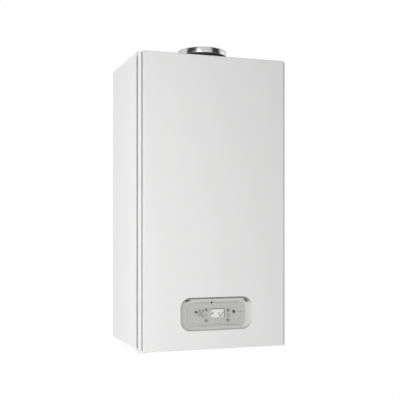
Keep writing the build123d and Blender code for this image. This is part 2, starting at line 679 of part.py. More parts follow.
with BuildPart() as air_silencer:
    with BuildSketch(level(SILENCER_H0)):
        with Locations(fan_spot):
            RectangleRounded(SILENCER_W, SILENCER_W, 14)
    extrude(amount=SILENCER_H)
    fillet(air_silencer.faces().sort_by(Axis.Z)[0].edges(), radius=6)
    with BuildSketch(level(SILENCER_H0 + SILENCER_WALL)):
        with Locations(fan_spot):
            RectangleRounded(SILENCER_W - 2 * SILENCER_WALL, SILENCER_W - 2 * SILENCER_WALL, 11.5)
    extrude(amount=SILENCER_H - 2 * SILENCER_WALL, mode=Mode.SUBTRACT)
    with BuildSketch(level(MIXER_H0 - SILENCER_WALL)):
        with Locations(fan_spot):
            Circle(INLET_R)
    extrude(amount=SILENCER_WALL, mode=Mode.SUBTRACT)
    with BuildSketch(Plane.YZ.offset(FAN_X - SILENCER_W / 2)):
        with Locations((-FAN_D, up(SILENCER_H0 + SILENCER_H / 2))):
            RectangleRounded(MOUTH_W, MOUTH_H, 5)
    extrude(amount=SILENCER_WALL, mode=Mode.SUBTRACT)
save(air_silencer, "air_silencer")

exhaust_pipe = bent_pipe(
    [
        (EXHAUST_START_X, EXHAUST_D, EXHAUST_H0),
        (EXHAUST_X, EXHAUST_D, EXHAUST_H0),
        (EXHAUST_X, EXHAUST_D, EXHAUST_TOP_H0),
        (0, FLUE_D, EXHAUST_TOP_H0),
        (0, FLUE_D, CASE_H - SOCKET_BELOW),
    ],
    [45, 60, 40], EXHAUST_R, EXHAUST_R - PIPE_WALL)
save(exhaust_pipe, "exhaust_pipe")

# ================================================================ gas
VALVE_W = 86.0
VALVE_H = 95.0
VALVE_H0 = 270.0
VALVE_PORT_H = 60.0  # outlet above the valve's foot
VALVE_PORT_OUT = 8.0
GAS_BEND = 14.0
GAS_RUN_OUT = 22.0  # gas pipe's front run before its ports
INLET_PORT_R = 13.0
INLET_PORT_L = 10.0

valve_front_d = FAN_D + VALVE_W / 2
mixer_port_d = FAN_D + MIXER_R + GAS_PORT_OUT
gas_front_d = max(valve_front_d + VALVE_PORT_OUT, mixer_port_d) + GAS_RUN_OUT

with BuildPart() as gas_valve:
    with BuildSketch(level(VALVE_H0)):
        with Locations(fan_spot):
            RectangleRounded(VALVE_W * 0.8, VALVE_W, 8)
    extrude(amount=VALVE_H)
    with BuildSketch(level(VALVE_H0 + 12)):
        with Locations(fan_spot):
            RectangleRounded(VALVE_W, VALVE_W * 0.7, 6)
    extrude(amount=VALVE_H / 3)
    with BuildSketch(level(VALVE_H0 + VALVE_H)):
        with Locations((FAN_X - VALVE_W / 5, -FAN_D), (FAN_X + VALVE_W / 5, -FAN_D)):
            Circle(14)
    extrude(amount=16)
    with BuildSketch(front_plane(valve_front_d)):
        with Locations((FAN_X, up(VALVE_H0 + VALVE_PORT_H))):
            Circle(GAS_PORT_R)
    extrude(amount=VALVE_PORT_OUT)
    with BuildSketch(level(VALVE_H0 - INLET_PORT_L)):
        with Locations(fan_spot):
            RegularPolygon(INLET_PORT_R, 6)
    extrude(amount=INLET_PORT_L)
save(gas_valve, "gas_valve")

gas_pipe = bent_pipe(
    [
        (FAN_X, valve_front_d + VALVE_PORT_OUT, VALVE_H0 + VALVE_PORT_H),
        (FAN_X, gas_front_d, VALVE_H0 + VALVE_PORT_H),
        (FAN_X, gas_front_d, MIXER_H0 + MIXER_H / 2),
        (FAN_X, mixer_port_d, MIXER_H0 + MIXER_H / 2),
    ],
    GAS_BEND, GAS_PIPE_R, GAS_PIPE_R - GAS_PIPE_WALL)
save(gas_pipe, "gas_pipe")

# ================================================================ water side, laid out from the pipe tails
TAIL_PITCH = 65.0
TAIL_D = 82.0
TAIL_DOWN = 22.0  # tails below the casing
TAIL_UP = 45.0  # tails' upper ends, where the manifolds begin
HEATING_TAIL_R = 11.0
WATER_TAIL_R = 7.5
TAIL_WALL = 3.0
BEAD_H0 = 8.0
NUT_H0 = 20.0
STUB_R = 14.0
FLOW_X = -2 * TAIL_PITCH
HOT_X = -TAIL_PITCH
GAS_X = 0.0
COLD_X = TAIL_PITCH
RETURN_X = 2 * TAIL_PITCH
TAILS = (
    (FLOW_X, HEATING_TAIL_R),
    (HOT_X, WATER_TAIL_R),
    (GAS_X, HEATING_TAIL_R),
    (COLD_X, WATER_TAIL_R),
    (RETURN_X, HEATING_TAIL_R),
)
FOOT_R = 13.0
FOOT_D0 = BACK_FRONT_D + GAP

# ---------------------------------------------------------------- plate heat exchanger on the manifolds' arms
ARM_H0 = 165.0
ARM_H = 25.0
ARM_X0 = 50.0  # arms' inner ends, left and right of the centre line
ARM_X1 = 86.0
ARM_D0 = 70.0
ARM_D1 = 145.0
PLATES_W = 190.0
PLATES_D0 = 92.0
PLATES_DEPTH = 75.0
PLATE_COUNT = 14
PLATE_PITCH = 4.0
PLATE_T = 2.6
PLATES_H0 = ARM_H0 + ARM_H

plates_centre = (0, -PLATES_D0 - PLATES_DEPTH / 2)

with BuildPart() as plate_heat_exchanger:
    with BuildSketch(level(PLATES_H0)):
        with Locations(plates_centre):
            RectangleRounded(PLATES_W - 4, PLATES_DEPTH - 4, 10)
    extrude(amount=PLATE_COUNT * PLATE_PITCH)
    for plate in range(PLATE_COUNT):
        with BuildSketch(level(PLATES_H0 + plate * PLATE_PITCH)):
            with Locations(plates_centre):
                RectangleRounded(PLATES_W, PLATES_DEPTH, 12)
        extrude(amount=PLATE_T)
save(plate_heat_exchanger, "plate_heat_exchanger")

# ---------------------------------------------------------------- pump and return manifold
PUMP_H0 = 150.0
PUMP_R = 45.0
PUMP_D0 = 60.0
PUMP_L = 45.0
PUMP_BACK = 8.0
PUMP_CAVITY_R = 36.0
PUMP_OUT_H0 = 200.0
PUMP_MOTOR_R = 42.0
PUMP_MOTOR_L = 95.0
PUMP_SHAFT_R = 4.0
PUMP_SHAFT_IN = 70.0
PUMP_IMPELLER_R = 33.0
SAFETY_X = 70.0
SAFETY_R = 12.0
SAFETY_L = 30.0
SAFETY_STEM_R = 3.0
SAFETY_STEM_L = 14.0
SAFETY_KNOB_R = 13.5
SAFETY_KNOB_L = 15.0

PUMP_FRONT_D = PUMP_D0 + PUMP_L
SAFETY_H0 = ARM_H0 + SAFETY_R - 1
SAFETY_FRONT_D = ARM_D1 + SAFETY_L
pump_spot = (RETURN_X, up(PUMP_H0))
safety_spot = (SAFETY_X, up(SAFETY_H0))

with BuildPart() as pump_housing:
    with BuildSketch(front_plane(PUMP_D0)):
        with Locations(pump_spot):
            Circle(PUMP_R)
    extrude(amount=PUMP_L)
    with BuildSketch(front_plane(FOOT_D0)):
        with Locations(pump_spot):
            Circle(FOOT_R)
    extrude(amount=PUMP_D0 - FOOT_D0)
    with BuildSketch(level(TAIL_UP)):
        with Locations((RETURN_X, -TAIL_D)):
            Circle(STUB_R)
    extrude(amount=PUMP_OUT_H0 - TAIL_UP)
    with BuildSketch(level(ARM_H0)):
        with Locations(((ARM_X0 + RETURN_X) / 2, -ARM_D0 - 15)):
            Rectangle(RETURN_X - ARM_X0, 30)
        with Locations(((ARM_X0 + ARM_X1) / 2, -(ARM_D0 + ARM_D1) / 2)):
            Rectangle(ARM_X1 - ARM_X0, ARM_D1 - ARM_D0)
    extrude(amount=ARM_H)
    with BuildSketch(front_plane(ARM_D1)):
        with Locations(safety_spot):
            Circle(SAFETY_R)
    extrude(amount=SAFETY_L)
    with BuildSketch(front_plane(SAFETY_FRONT_D - SAFETY_STEM_L - 1)):
        with Locations(safety_spot):
            Circle(SAFETY_STEM_R + RUN_FIT)
    extrude(amount=SAFETY_STEM_L + 1, mode=Mode.SUBTRACT)
    with BuildSketch(front_plane(PUMP_D0 + PUMP_BACK)):
        with Locations(pump_spot):
            Circle(PUMP_CAVITY_R)
    extrude(amount=PUMP_L - PUMP_BACK, mode=Mode.SUBTRACT)
    with BuildSketch(level(TAIL_UP)):
        with Locations((RETURN_X, -TAIL_D)):
            Circle(HEATING_TAIL_R - 2)
    extrude(amount=PUMP_OUT_H0 - TAIL_UP, mode=Mode.SUBTRACT)
save(pump_housing, "pump_housing")

with BuildPart() as pump_motor:
    with BuildSketch(front_plane(PUMP_FRONT_D)):
        with Locations(pump_spot):
            Circle(PUMP_MOTOR_R)
    extrude(amount=PUMP_MOTOR_L)
    fillet(pump_motor.faces().sort_by(Axis.Y)[0].edges(), radius=6)
    with BuildSketch(front_plane(PUMP_FRONT_D + PUMP_MOTOR_L)):
        with Locations(pump_spot):
            Circle(12)
    extrude(amount=4)
    with BuildSketch(level(PUMP_H0)):
        with Locations((RETURN_X, -PUMP_FRONT_D - PUMP_MOTOR_L / 2)):
            RectangleRounded(40, 60, 5)
    extrude(amount=PUMP_MOTOR_R + 18)
    with BuildSketch(front_plane(PUMP_FRONT_D)):
        with Locations(pump_spot):
            Circle(PUMP_SHAFT_R + RUN_FIT)
    extrude(amount=PUMP_SHAFT_IN, mode=Mode.SUBTRACT)
save(pump_motor, "pump_motor")

with BuildPart() as pump_rotor:
    disc_d = PUMP_FRONT_D - 10
    with BuildSketch(front_plane(disc_d)):
        with Locations(pump_spot):
            Circle(PUMP_IMPELLER_R)
    extrude(amount=3)
    with BuildSketch(front_plane(disc_d - 10)):
        with Locations(pump_spot):
            Circle(9)
            with PolarLocations(20, 6):
                Rectangle(22, 2.5, rotation=35)
    extrude(amount=10)
    with BuildSketch(front_plane(disc_d)):
        with Locations(pump_spot):
            Circle(PUMP_SHAFT_R)
    extrude(amount=10 + PUMP_SHAFT_IN - 2)
save(pump_rotor, "pump_rotor")

with BuildPart() as safety_knob:
    with BuildSketch(front_plane(SAFETY_FRONT_D + GAP)):
        with Locations(safety_spot):
            Circle(SAFETY_KNOB_R)
            with PolarLocations(SAFETY_KNOB_R + 1, 8):
                Circle(3, mode=Mode.SUBTRACT)
    extrude(amount=SAFETY_KNOB_L)
    with BuildSketch(front_plane(SAFETY_FRONT_D - SAFETY_STEM_L)):
        with Locations(safety_spot):
            Circle(SAFETY_STEM_R)
    extrude(amount=SAFETY_STEM_L + GAP)
save(safety_knob, "safety_knob")

# ---------------------------------------------------------------- flow manifold and diverter valve
COLUMN_R = 22.0
COLUMN_TOP_H0 = 235.0
VALVE_BORE_R = 12.0
VALVE_BORE_H0 = 110.0
SPINDLE_R = 4.0
SPINDLE_TRAVEL = 6.0
PISTON_H = 10.0
DIVERTER_R = 24.0
DIVERTER_H = 52.0
DIVERTER_BORE_H = 26.0
FLOW_IN_H0 = 205.0
FLOW_IN_OUT = 36.0  # HX flow port in front of the column's axis
flow_spot = (FLOW_X, -TAIL_D)

with BuildPart() as flow_manifold:
    with BuildSketch(level(TAIL_UP)):
        with Locations(flow_spot):
            Circle(COLUMN_R)
    extrude(amount=COLUMN_TOP_H0 - TAIL_UP)
    with BuildSketch(level(TAIL_UP)):
        with Locations((HOT_X, -TAIL_D)):
            Circle(WATER_TAIL_R + 4)
    extrude(amount=ARM_H0 - TAIL_UP)
    with BuildSketch(level(ARM_H0)):
        with Locations(((FLOW_X - ARM_X0) / 2, -ARM_D0 - 15)):
            Rectangle(-FLOW_X - ARM_X0, 30)
        with Locations((-(ARM_X0 + ARM_X1) / 2, -(ARM_D0 + ARM_D1) / 2)):
            Rectangle(ARM_X1 - ARM_X0, ARM_D1 - ARM_D0)
    extrude(amount=ARM_H)
    with BuildSketch(front_plane(FOOT_D0)):
        with Locations((FLOW_X, up(PUMP_H0))):
            Circle(FOOT_R)
    extrude(amount=TAIL_D - FOOT_D0)
    with BuildSketch(front_plane(TAIL_D)):
        with Locations((FLOW_X, up(FLOW_IN_H0))):
            Circle(WATER_PORT_R + 2)
    extrude(amount=FLOW_IN_OUT)
    with BuildSketch(front_plane(TAIL_D)):
        with Locations((FLOW_X, up(ARM_H0 - 30))):
            RegularPolygon(9, 6)
    extrude(amount=COLUMN_R + 10)
    with BuildSketch(level(VALVE_BORE_H0)):
        with Locations(flow_spot):
            Circle(VALVE_BORE_R)
    extrude(amount=COLUMN_TOP_H0 - VALVE_BORE_H0, mode=Mode.SUBTRACT)
    with BuildSketch(front_plane(TAIL_D)):
        with Locations((FLOW_X, up(FLOW_IN_H0))):
            Circle(WATER_PORT_R - 3)
    extrude(amount=FLOW_IN_OUT, mode=Mode.SUBTRACT)
    with BuildSketch(level(TAIL_UP)):
        with Locations(flow_spot):
            Circle(HEATING_TAIL_R - 2)
    extrude(amount=VALVE_BORE_H0 - TAIL_UP, mode=Mode.SUBTRACT)
save(flow_manifold, "flow_manifold")

with BuildPart() as diverter_spindle:
    with BuildSketch(level(VALVE_BORE_H0 + 8)):
        with Locations(flow_spot):
            Circle(SPINDLE_R)
    extrude(amount=COLUMN_TOP_H0 + DIVERTER_BORE_H - SPINDLE_TRAVEL - 4 - VALVE_BORE_H0 - 8)
    for piston_h0 in (VALVE_BORE_H0 + 8, ARM_H0 + ARM_H / 2):
        with BuildSketch(level(piston_h0)):
            with Locations(flow_spot):
                Circle(VALVE_BORE_R - RUN_FIT)
        extrude(amount=PISTON_H)
save(diverter_spindle, "diverter_spindle")

with BuildPart() as diverter_motor:
    with BuildSketch(level(COLUMN_TOP_H0)):
        with Locations(flow_spot):
            Circle(DIVERTER_R)
    extrude(amount=DIVERTER_H * 0.45)
    with BuildSketch(level(COLUMN_TOP_H0 + DIVERTER_H * 0.45)):
        with Locations(flow_spot):
            RectangleRounded(2 * DIVERTER_R + 6, 2 * DIVERTER_R - 4, 6)
    extrude(amount=DIVERTER_H * 0.55)
    fillet(diverter_motor.faces().sort_by(Axis.Z)[-1].edges(), radius=3)
    with BuildSketch(level(COLUMN_TOP_H0)):
        with Locations(flow_spot):
            Circle(SPINDLE_R + RUN_FIT)
    extrude(amount=DIVERTER_BORE_H, mode=Mode.SUBTRACT)
save(diverter_motor, "diverter_motor")

# ---------------------------------------------------------------- automatic air vent on the flow arm
VENT_X = -92.0
VENT_D = 80.0
VENT_R = 10.0
VENT_H = 48.0

with BuildPart() as air_vent:
    with BuildSketch(level(ARM_H0 + ARM_H)):
        with Locations((VENT_X, -VENT_D)):
            RegularPolygon(VENT_R - 1, 6)
    extrude(amount=6)
    with BuildSketch(level(ARM_H0 + ARM_H + 6)):
        with Locations((VENT_X, -VENT_D)):
            Circle(VENT_R)
    extrude(amount=VENT_H - 14)
    fillet(air_vent.faces().sort_by(Axis.Z)[-1].edges(), radius=3)
    with BuildSketch(level(ARM_H0 + ARM_H + VENT_H - 8)):
        with Locations((VENT_X, -VENT_D)):
            Circle(4)
    extrude(amount=8)
save(air_vent, "air_vent")

# ---------------------------------------------------------------- cold inlet with its flow sensor and filling tap
SENSOR_R = 17.0
SENSOR_TOP_H0 = 125.0
CHAMBER_R = 11.0
CHAMBER_H0 = 60.0
CHAMBER_H = 50.0
TURBINE_R = 10.5
TURBINE_PIN_R = 1.5
TURBINE_PIN_IN = 4.0
VANES = 5
TAP_X = 97.0
TAP_D = 118.0
TAP_H0 = 50.0
TAP_H = 25.0
TAP_STEM_R = 4.0
TAP_KNOB_R = 14.0
TAP_KNOB_H = 16.0
TAP_KNOB_BELOW = 4.0  # top of the knob below the casing
cold_spot = (COLD_X, -TAIL_D)

with BuildPart() as flow_sensor:
    with BuildSketch(level(TAIL_UP)):
        with Locations(cold_spot):
            Circle(SENSOR_R)
    extrude(amount=SENSOR_TOP_H0 - TAIL_UP)
    with BuildSketch(level(SENSOR_TOP_H0)):
        with Locations(cold_spot):
            Circle(9)
    extrude(amount=ARM_H0 - SENSOR_TOP_H0)
    with BuildSketch(level(CHAMBER_H0 + 10)):
        with Locations((COLD_X, -TAIL_D - SENSOR_R)):
            RectangleRounded(20, 16, 2)
    extrude(amount=26)
    with BuildSketch(level(TAP_H0)):
        with Locations(((COLD_X + TAP_X + 11) / 2, -(TAIL_D + TAP_D + 11) / 2)):
            Rectangle(TAP_X + 11 - COLD_X, TAP_D + 11 - TAIL_D)
    extrude(amount=TAP_H)
    with BuildSketch(level(CHAMBER_H0)):
        with Locations(cold_spot):
            Circle(CHAMBER_R)
    extrude(amount=CHAMBER_H, mode=Mode.SUBTRACT)
    with BuildSketch(level(TAIL_UP)):
        with Locations(cold_spot):
            with PolarLocations(5.5, 4):
                Circle(2.3)
    extrude(amount=ARM_H0 - TAIL_UP, mode=Mode.SUBTRACT)
    with BuildSketch(level(CHAMBER_H0 - TURBINE_PIN_IN - 1)):
        with Locations(cold_spot):
            Circle(TURBINE_PIN_R + RUN_FIT)
    extrude(amount=CHAMBER_H + 2 * TURBINE_PIN_IN + 2, mode=Mode.SUBTRACT)
    with BuildSketch(level(TAP_H0)):
        with Locations((TAP_X, -TAP_D)):
            Circle(TAP_STEM_R + RUN_FIT)
    extrude(amount=TAP_H - 4, mode=Mode.SUBTRACT)
save(flow_sensor, "flow_sensor")

with BuildPart() as flow_turbine:
    with BuildSketch(level(CHAMBER_H0 + 1)):
        with Locations(cold_spot):
            Circle(4)
    extrude(amount=CHAMBER_H - 2)
    with BuildSketch(level(CHAMBER_H0 + 8)):
        with Locations(cold_spot):
            with PolarLocations(TURBINE_R / 2 + 1, VANES):
                Rectangle(TURBINE_R - 2.2, 1.4)
    extrude(amount=CHAMBER_H - 16)
    with BuildSketch(level(CHAMBER_H0 - TURBINE_PIN_IN)):
        with Locations(cold_spot):
            Circle(TURBINE_PIN_R)
    extrude(amount=CHAMBER_H + 2 * TURBINE_PIN_IN)
save(flow_turbine, "flow_turbine")

with BuildPart() as fill_knob:
    with BuildSketch(level(-TAP_KNOB_BELOW - TAP_KNOB_H)):
        with Locations((TAP_X, -TAP_D)):
            Circle(TAP_KNOB_R)
            with PolarLocations(TAP_KNOB_R + 1, 10):
                Circle(2.6, mode=Mode.SUBTRACT)
    extrude(amount=TAP_KNOB_H)
    with BuildSketch(level(-TAP_KNOB_BELOW)):
        with Locations((TAP_X, -TAP_D)):
            Circle(TAP_STEM_R)
    extrude(amount=TAP_H0 + TAP_H - 6 + TAP_KNOB_BELOW)
save(fill_knob, "fill_knob")

# ---------------------------------------------------------------- pipes inside the casing
WATER_PIPE_R = 9.0
WATER_PIPE_BEND = 30.0
VESSEL_PIPE_R = 5.0
RETURN_RUN_H0 = 300.0


def port_bottom(port_x):
    """Height of a heat exchanger water port's lower end."""
    return DRUM_H0 - math.sqrt(DRUM_R ** 2 - (port_x - DRUM_X) ** 2) - WATER_PORT_L


flow_pipe = bent_pipe(
    [
        (FLOW_PORT_X, FLOW_PORT_D, port_bottom(FLOW_PORT_X)),
        (FLOW_X, FLOW_PORT_D, FLOW_IN_H0),
        (FLOW_X, TAIL_D + FLOW_IN_OUT, FLOW_IN_H0),
    ],
    WATER_PIPE_BEND * 0.8, WATER_PIPE_R, WATER_PIPE_R - 1)
save(flow_pipe, "flow_pipe")

return_pipe = bent_pipe(
    [
        (RETURN_X, TAIL_D, PUMP_OUT_H0),
        (RETURN_X, TAIL_D, RETURN_RUN_H0),
        (RETURN_PORT_X, RETURN_PORT_D, RETURN_RUN_H0),
        (RETURN_PORT_X, RETURN_PORT_D, port_bottom(RETURN_PORT_X)),
    ],
    WATER_PIPE_BEND, WATER_PIPE_R, WATER_PIPE_R - 1)
save(return_pipe, "return_pipe")

vessel_pipe = bent_pipe(
    [
        (VESSEL_PORT_X, VESSEL_MID_D, VESSEL_H0 - VESSEL_PORT_L),
        (VESSEL_PORT_X, VESSEL_MID_D, ARM_H0 + ARM_H / 2),
        (VESSEL_PORT_X, ARM_D0, ARM_H0 + ARM_H / 2),
    ],
    15, VESSEL_PIPE_R, VESSEL_PIPE_R - 1)
save(vessel_pipe, "vessel_pipe")

# ---------------------------------------------------------------- pipe tails, the gas tail runs up to the valve
GAS_FEED_R = 9.0
GAS_RUN_H0 = 80.0
GAS_CROSS_H0 = VALVE_H0 - 40

gas_feed = bent_pipe(
    [
        (GAS_X, TAIL_D, TAIL_UP - 1),
        (GAS_X, TAIL_D, GAS_RUN_H0),
        (GAS_X, FAN_D, GAS_RUN_H0),
        (GAS_X, FAN_D, GAS_CROSS_H0),
        (FAN_X, FAN_D, GAS_CROSS_H0),
        (FAN_X, FAN_D, VALVE_H0 - INLET_PORT_L),
    ],
    [20, 20, 24, 20], GAS_FEED_R, GAS_FEED_R - 1)

with BuildPart() as tail_pipes:
    for tail_x, tail_r in TAILS:
        with BuildSketch(level(-TAIL_DOWN)):
            with Locations((tail_x, -TAIL_D)):
                Circle(tail_r)
        extrude(amount=TAIL_DOWN + TAIL_UP)
        with BuildSketch(level(BEAD_H0)):
            with Locations((tail_x, -TAIL_D)):
                Circle(tail_r + 1.5)
        extrude(amount=3)
    add(gas_feed.part)
    for tail_x, tail_r in TAILS:
        with BuildSketch(level(-TAIL_DOWN)):
            with Locations((tail_x, -TAIL_D)):
                Circle(tail_r - TAIL_WALL)
        extrude(amount=TAIL_DOWN + TAIL_UP, mode=Mode.SUBTRACT)
save(tail_pipes, "tail_pipes")

with BuildPart() as union_nuts:
    for tail_x, tail_r in TAILS:
        with BuildSketch(level(NUT_H0)):
            with Locations((tail_x, -TAIL_D)):
                RegularPolygon(tail_r + 7, 6)
                Circle(tail_r + GAP, mode=Mode.SUBTRACT)
        extrude(amount=TAIL_UP - NUT_H0)
save(union_nuts, "union_nuts")

# ---------------------------------------------------------------- condensate trap and its drain
TRAP_SIDE = 34.0  # trap's axis from the left side panel
TRAP_D = 200.0
TRAP_R = 24.0
TRAP_H0 = 200.0
TRAP_H = 130.0
TRAP_PIPE_R = 8.0
TRAP_PIPE_H0 = 375.0
DRAIN_R = 10.5
DRAIN_DOWN = 20.0
TRAP_X = -INNER_X + TRAP_SIDE

trap_inlet = bent_pipe(
    [
        (DRUM_X, SUMP_D, DRUM_BOTTOM_H0 - WATER_PORT_L),
        (DRUM_X, SUMP_D, TRAP_PIPE_H0),
        (TRAP_X, TRAP_D, TRAP_PIPE_H0),
        (TRAP_X, TRAP_D, TRAP_H0 + TRAP_H - 1),
    ],
    18, TRAP_PIPE_R, TRAP_PIPE_R - 1.5)

with BuildPart() as condensate_trap:
    with BuildSketch(level(TRAP_H0 + 12)):
        with Locations((TRAP_X, -TRAP_D)):
            Circle(TRAP_R)
    extrude(amount=TRAP_H - 12)
    fillet(condensate_trap.faces().sort_by(Axis.Z)[-1].edges(), radius=8)
    with BuildSketch(level(TRAP_H0 + 12)):
        with Locations((TRAP_X, -TRAP_D)):
            Circle(TRAP_R + 3)
    extrude(amount=22)
    with BuildSketch(level(TRAP_H0)):
        with Locations((TRAP_X, -TRAP_D)):
            Circle(DRAIN_R + 2)
    extrude(amount=12)
    with BuildSketch(level(TRAP_H0 + TRAP_H / 2)):
        with Locations(((TRAP_X - INNER_X + GAP) / 2, -TRAP_D)):
            Rectangle(TRAP_X + INNER_X - GAP, 18)
    extrude(amount=30)
    add(trap_inlet.part)
save(condensate_trap, "condensate_trap")

drain_hose = bent_pipe(
    [(TRAP_X, TRAP_D, TRAP_H0), (TRAP_X, TRAP_D, -DRAIN_DOWN)], 0, DRAIN_R, DRAIN_R - 2)
save(drain_hose, "drain_hose")

# ================================================================ control box, hinged along its lower edge
BOX_X = 150.0
BOX_H0 = 30.0
BOX_H = 138.0
BOX_WALL = 2.5
BOX_BACK_D = CASE_D - 73.0  # lid's back, clear of the pump behind it
LID_T = 2.0
FASCIA_BEHIND = 1.5  # fascia's front face behind the cover's front face
FASCIA_T = 12.5
FASCIA_RIM = 6.0  # fascia's rim beyond the window
FLOOR_T = 2.5
HINGE_D = BODY_D + 9.0  # hinge pins just in front of the folded front edges
HINGE_H0 = 24.0
HINGE_R = 4.0
EAR_R = 7.0
EAR_T = 5.0
TAB_T = 2.0
TAB_GAP = 0.5
BOARD_D = BOX_BACK_D + 10.0
BOARD_T = 1.6
BOARD_EDGE = 12.0
POST_R = 4.0

FASCIA_FRONT_D = CASE_D - FASCIA_BEHIND
FASCIA_BACK_D = FASCIA_FRONT_D - FASCIA_T
FLOOR_D = CASE_D - DISH_DEPTH
FLOOR_X = WINDOW_X + (DISH_LEFT - DISH_RIGHT) / 2
FLOOR_H0 = WINDOW_H0 + (DISH_BOTTOM - DISH_TOP) / 2
FLOOR_W = WINDOW_W - DISH_LEFT - DISH_RIGHT
FLOOR_H = WINDOW_H - DISH_TOP - DISH_BOTTOM
BOX_MID_H0 = BOX_H0 + BOX_H / 2
window_spot = (WINDOW_X, up(WINDOW_H0))
floor_spot = (FLOOR_X, up(FLOOR_H0))

with BuildPart() as control_box:
    with BuildSketch(front_plane(BOX_BACK_D + LID_T)):
        with Locations((0, up(BOX_MID_H0))):
            RectangleRounded(2 * BOX_X, BOX_H, 6)
    extrude(amount=FASCIA_BACK_D - BOX_BACK_D - LID_T)
    with BuildSketch(front_plane(BOX_BACK_D + LID_T)):
        with Locations((0, up(BOX_MID_H0))):
            RectangleRounded(2 * BOX_X - 2 * BOX_WALL, BOX_H - 2 * BOX_WALL, 4)
    extrude(amount=FASCIA_BACK_D - BOX_BACK_D - LID_T - BOX_WALL, mode=Mode.SUBTRACT)
    with BuildSketch(front_plane(FASCIA_BACK_D - BOX_WALL)):
        with Locations(floor_spot):
            RectangleRounded(FLOOR_W, FLOOR_H, DISH_FLOOR_R)
    extrude(amount=BOX_WALL, mode=Mode.SUBTRACT)
    with BuildSketch(front_plane(BOARD_D + BOARD_T)):
        with Locations((0, up(BOX_MID_H0))):
            with GridLocations(2 * BOX_X - 4 * BOARD_EDGE, BOX_H - 3 * BOARD_EDGE, 2, 2):
                Circle(POST_R)
    extrude(amount=FASCIA_BACK_D - BOX_WALL - BOARD_D - BOARD_T)
    for side in (-1, 1):
        with BuildSketch(Plane.YZ.offset(side * (BOX_X - EAR_T / 2) - EAR_T / 2)):
            with Locations((-HINGE_D, up(HINGE_H0))):
                Circle(EAR_R)
            with Locations((-HINGE_D, up((HINGE_H0 + BOX_H0 + 8) / 2))):
                Rectangle(2 * EAR_R, BOX_H0 + 8 - HINGE_H0)
        extrude(amount=EAR_T)
    with BuildSketch(Plane.YZ.offset(BOX_X)):
        with Locations((-HINGE_D, up(HINGE_H0))):
            Circle(HINGE_R)
    extrude(amount=TAB_GAP + TAB_T + 2)
    with BuildSketch(Plane.YZ.offset(-BOX_X - TAB_GAP - TAB_T - 2)):
        with Locations((-HINGE_D, up(HINGE_H0))):
            Circle(HINGE_R)
    extrude(amount=TAB_GAP + TAB_T + 2)
save(control_box, "control_box")

with BuildPart() as control_lid:
    with BuildSketch(front_plane(BOX_BACK_D)):
        with Locations((0, up(BOX_MID_H0))):
            RectangleRounded(2 * BOX_X, BOX_H, 6)
    extrude(amount=LID_T)
    with BuildSketch(front_plane(BOX_BACK_D - 2)):
        with Locations((0, up(BOX_MID_H0))):
            with GridLocations(2 * BOX_X - 40, BOX_H - 30, 2, 2):
                Circle(5)
            with GridLocations(60, 1, 3, 1):
                RectangleRounded(40, BOX_H - 60, 4)
    extrude(amount=2)
save(control_lid, "control_lid")

# Main board: its parts stand on the side that faces the front
BOARD_PARTS = (
    (-95.0, 20.0, 50.0, 40.0, 30.0),
    (-95.0, -32.0, 46.0, 26.0, 14.0),
    (-35.0, 30.0, 26.0, 26.0, 24.0),
    (-35.0, -10.0, 40.0, 22.0, 12.0),
    (25.0, 25.0, 34.0, 34.0, 6.0),
    (30.0, -30.0, 70.0, 12.0, 11.0),
    (92.0, 22.0, 30.0, 18.0, 16.0),
    (95.0, -24.0, 34.0, 24.0, 20.0),
)

with BuildPart() as main_board:
    with BuildSketch(front_plane(BOARD_D)):
        with Locations((0, up(BOX_MID_H0))):
            Rectangle(2 * BOX_X - 2 * BOARD_EDGE, BOX_H - BOARD_EDGE)
    extrude(amount=BOARD_T)
    for part_x, part_h, part_w, part_tall, part_out in BOARD_PARTS:
        with BuildSketch(front_plane(BOARD_D + BOARD_T)):
            with Locations((part_x, up(BOX_MID_H0 + part_h))):
                Rectangle(part_w, part_tall)
        extrude(amount=part_out)
save(main_board, "main_board")

# ---------------------------------------------------------------- buttons and display on the dish floor
BUTTON_TRAVEL = 1.0
BUTTON_OUT = 1.6
BUTTON_RIM = 1.2  # retaining rim behind the floor
BUTTON_RIM_T = 1.3
SMALL_BUTTON_R = 3.3
STEP_BUTTON_R = 4.6
POWER_BUTTON_R = 7.0
RESET_BUTTON_R = 4.0
BUTTON_STEM_R = 2.0
DISPLAY_BOARD_D = FASCIA_BACK_D - 11.0
DISPLAY_EDGE = 6.0
LCD_W = 41.0
LCD_H = 27.7
LCD_X = 8.4
LCD_H0 = 90.8
LCD_BELOW = 0.4
BUTTONS = (
    ("info_button", -51.5, 97.0, SMALL_BUTTON_R),
    ("power_button", -37.7, 94.4, POWER_BUTTON_R),
    ("water_plus_button", -22.6, 101.7, STEP_BUTTON_R),
    ("water_minus_button", -22.6, 74.1, STEP_BUTTON_R),
    ("heating_plus_button", 38.0, 99.5, STEP_BUTTON_R),
    ("heating_minus_button", 38.0, 73.0, STEP_BUTTON_R),
    ("reset_button", 54.2, 95.2, RESET_BUTTON_R),
)
DISPLAY_FRONT_D = DISPLAY_BOARD_D + BOARD_T

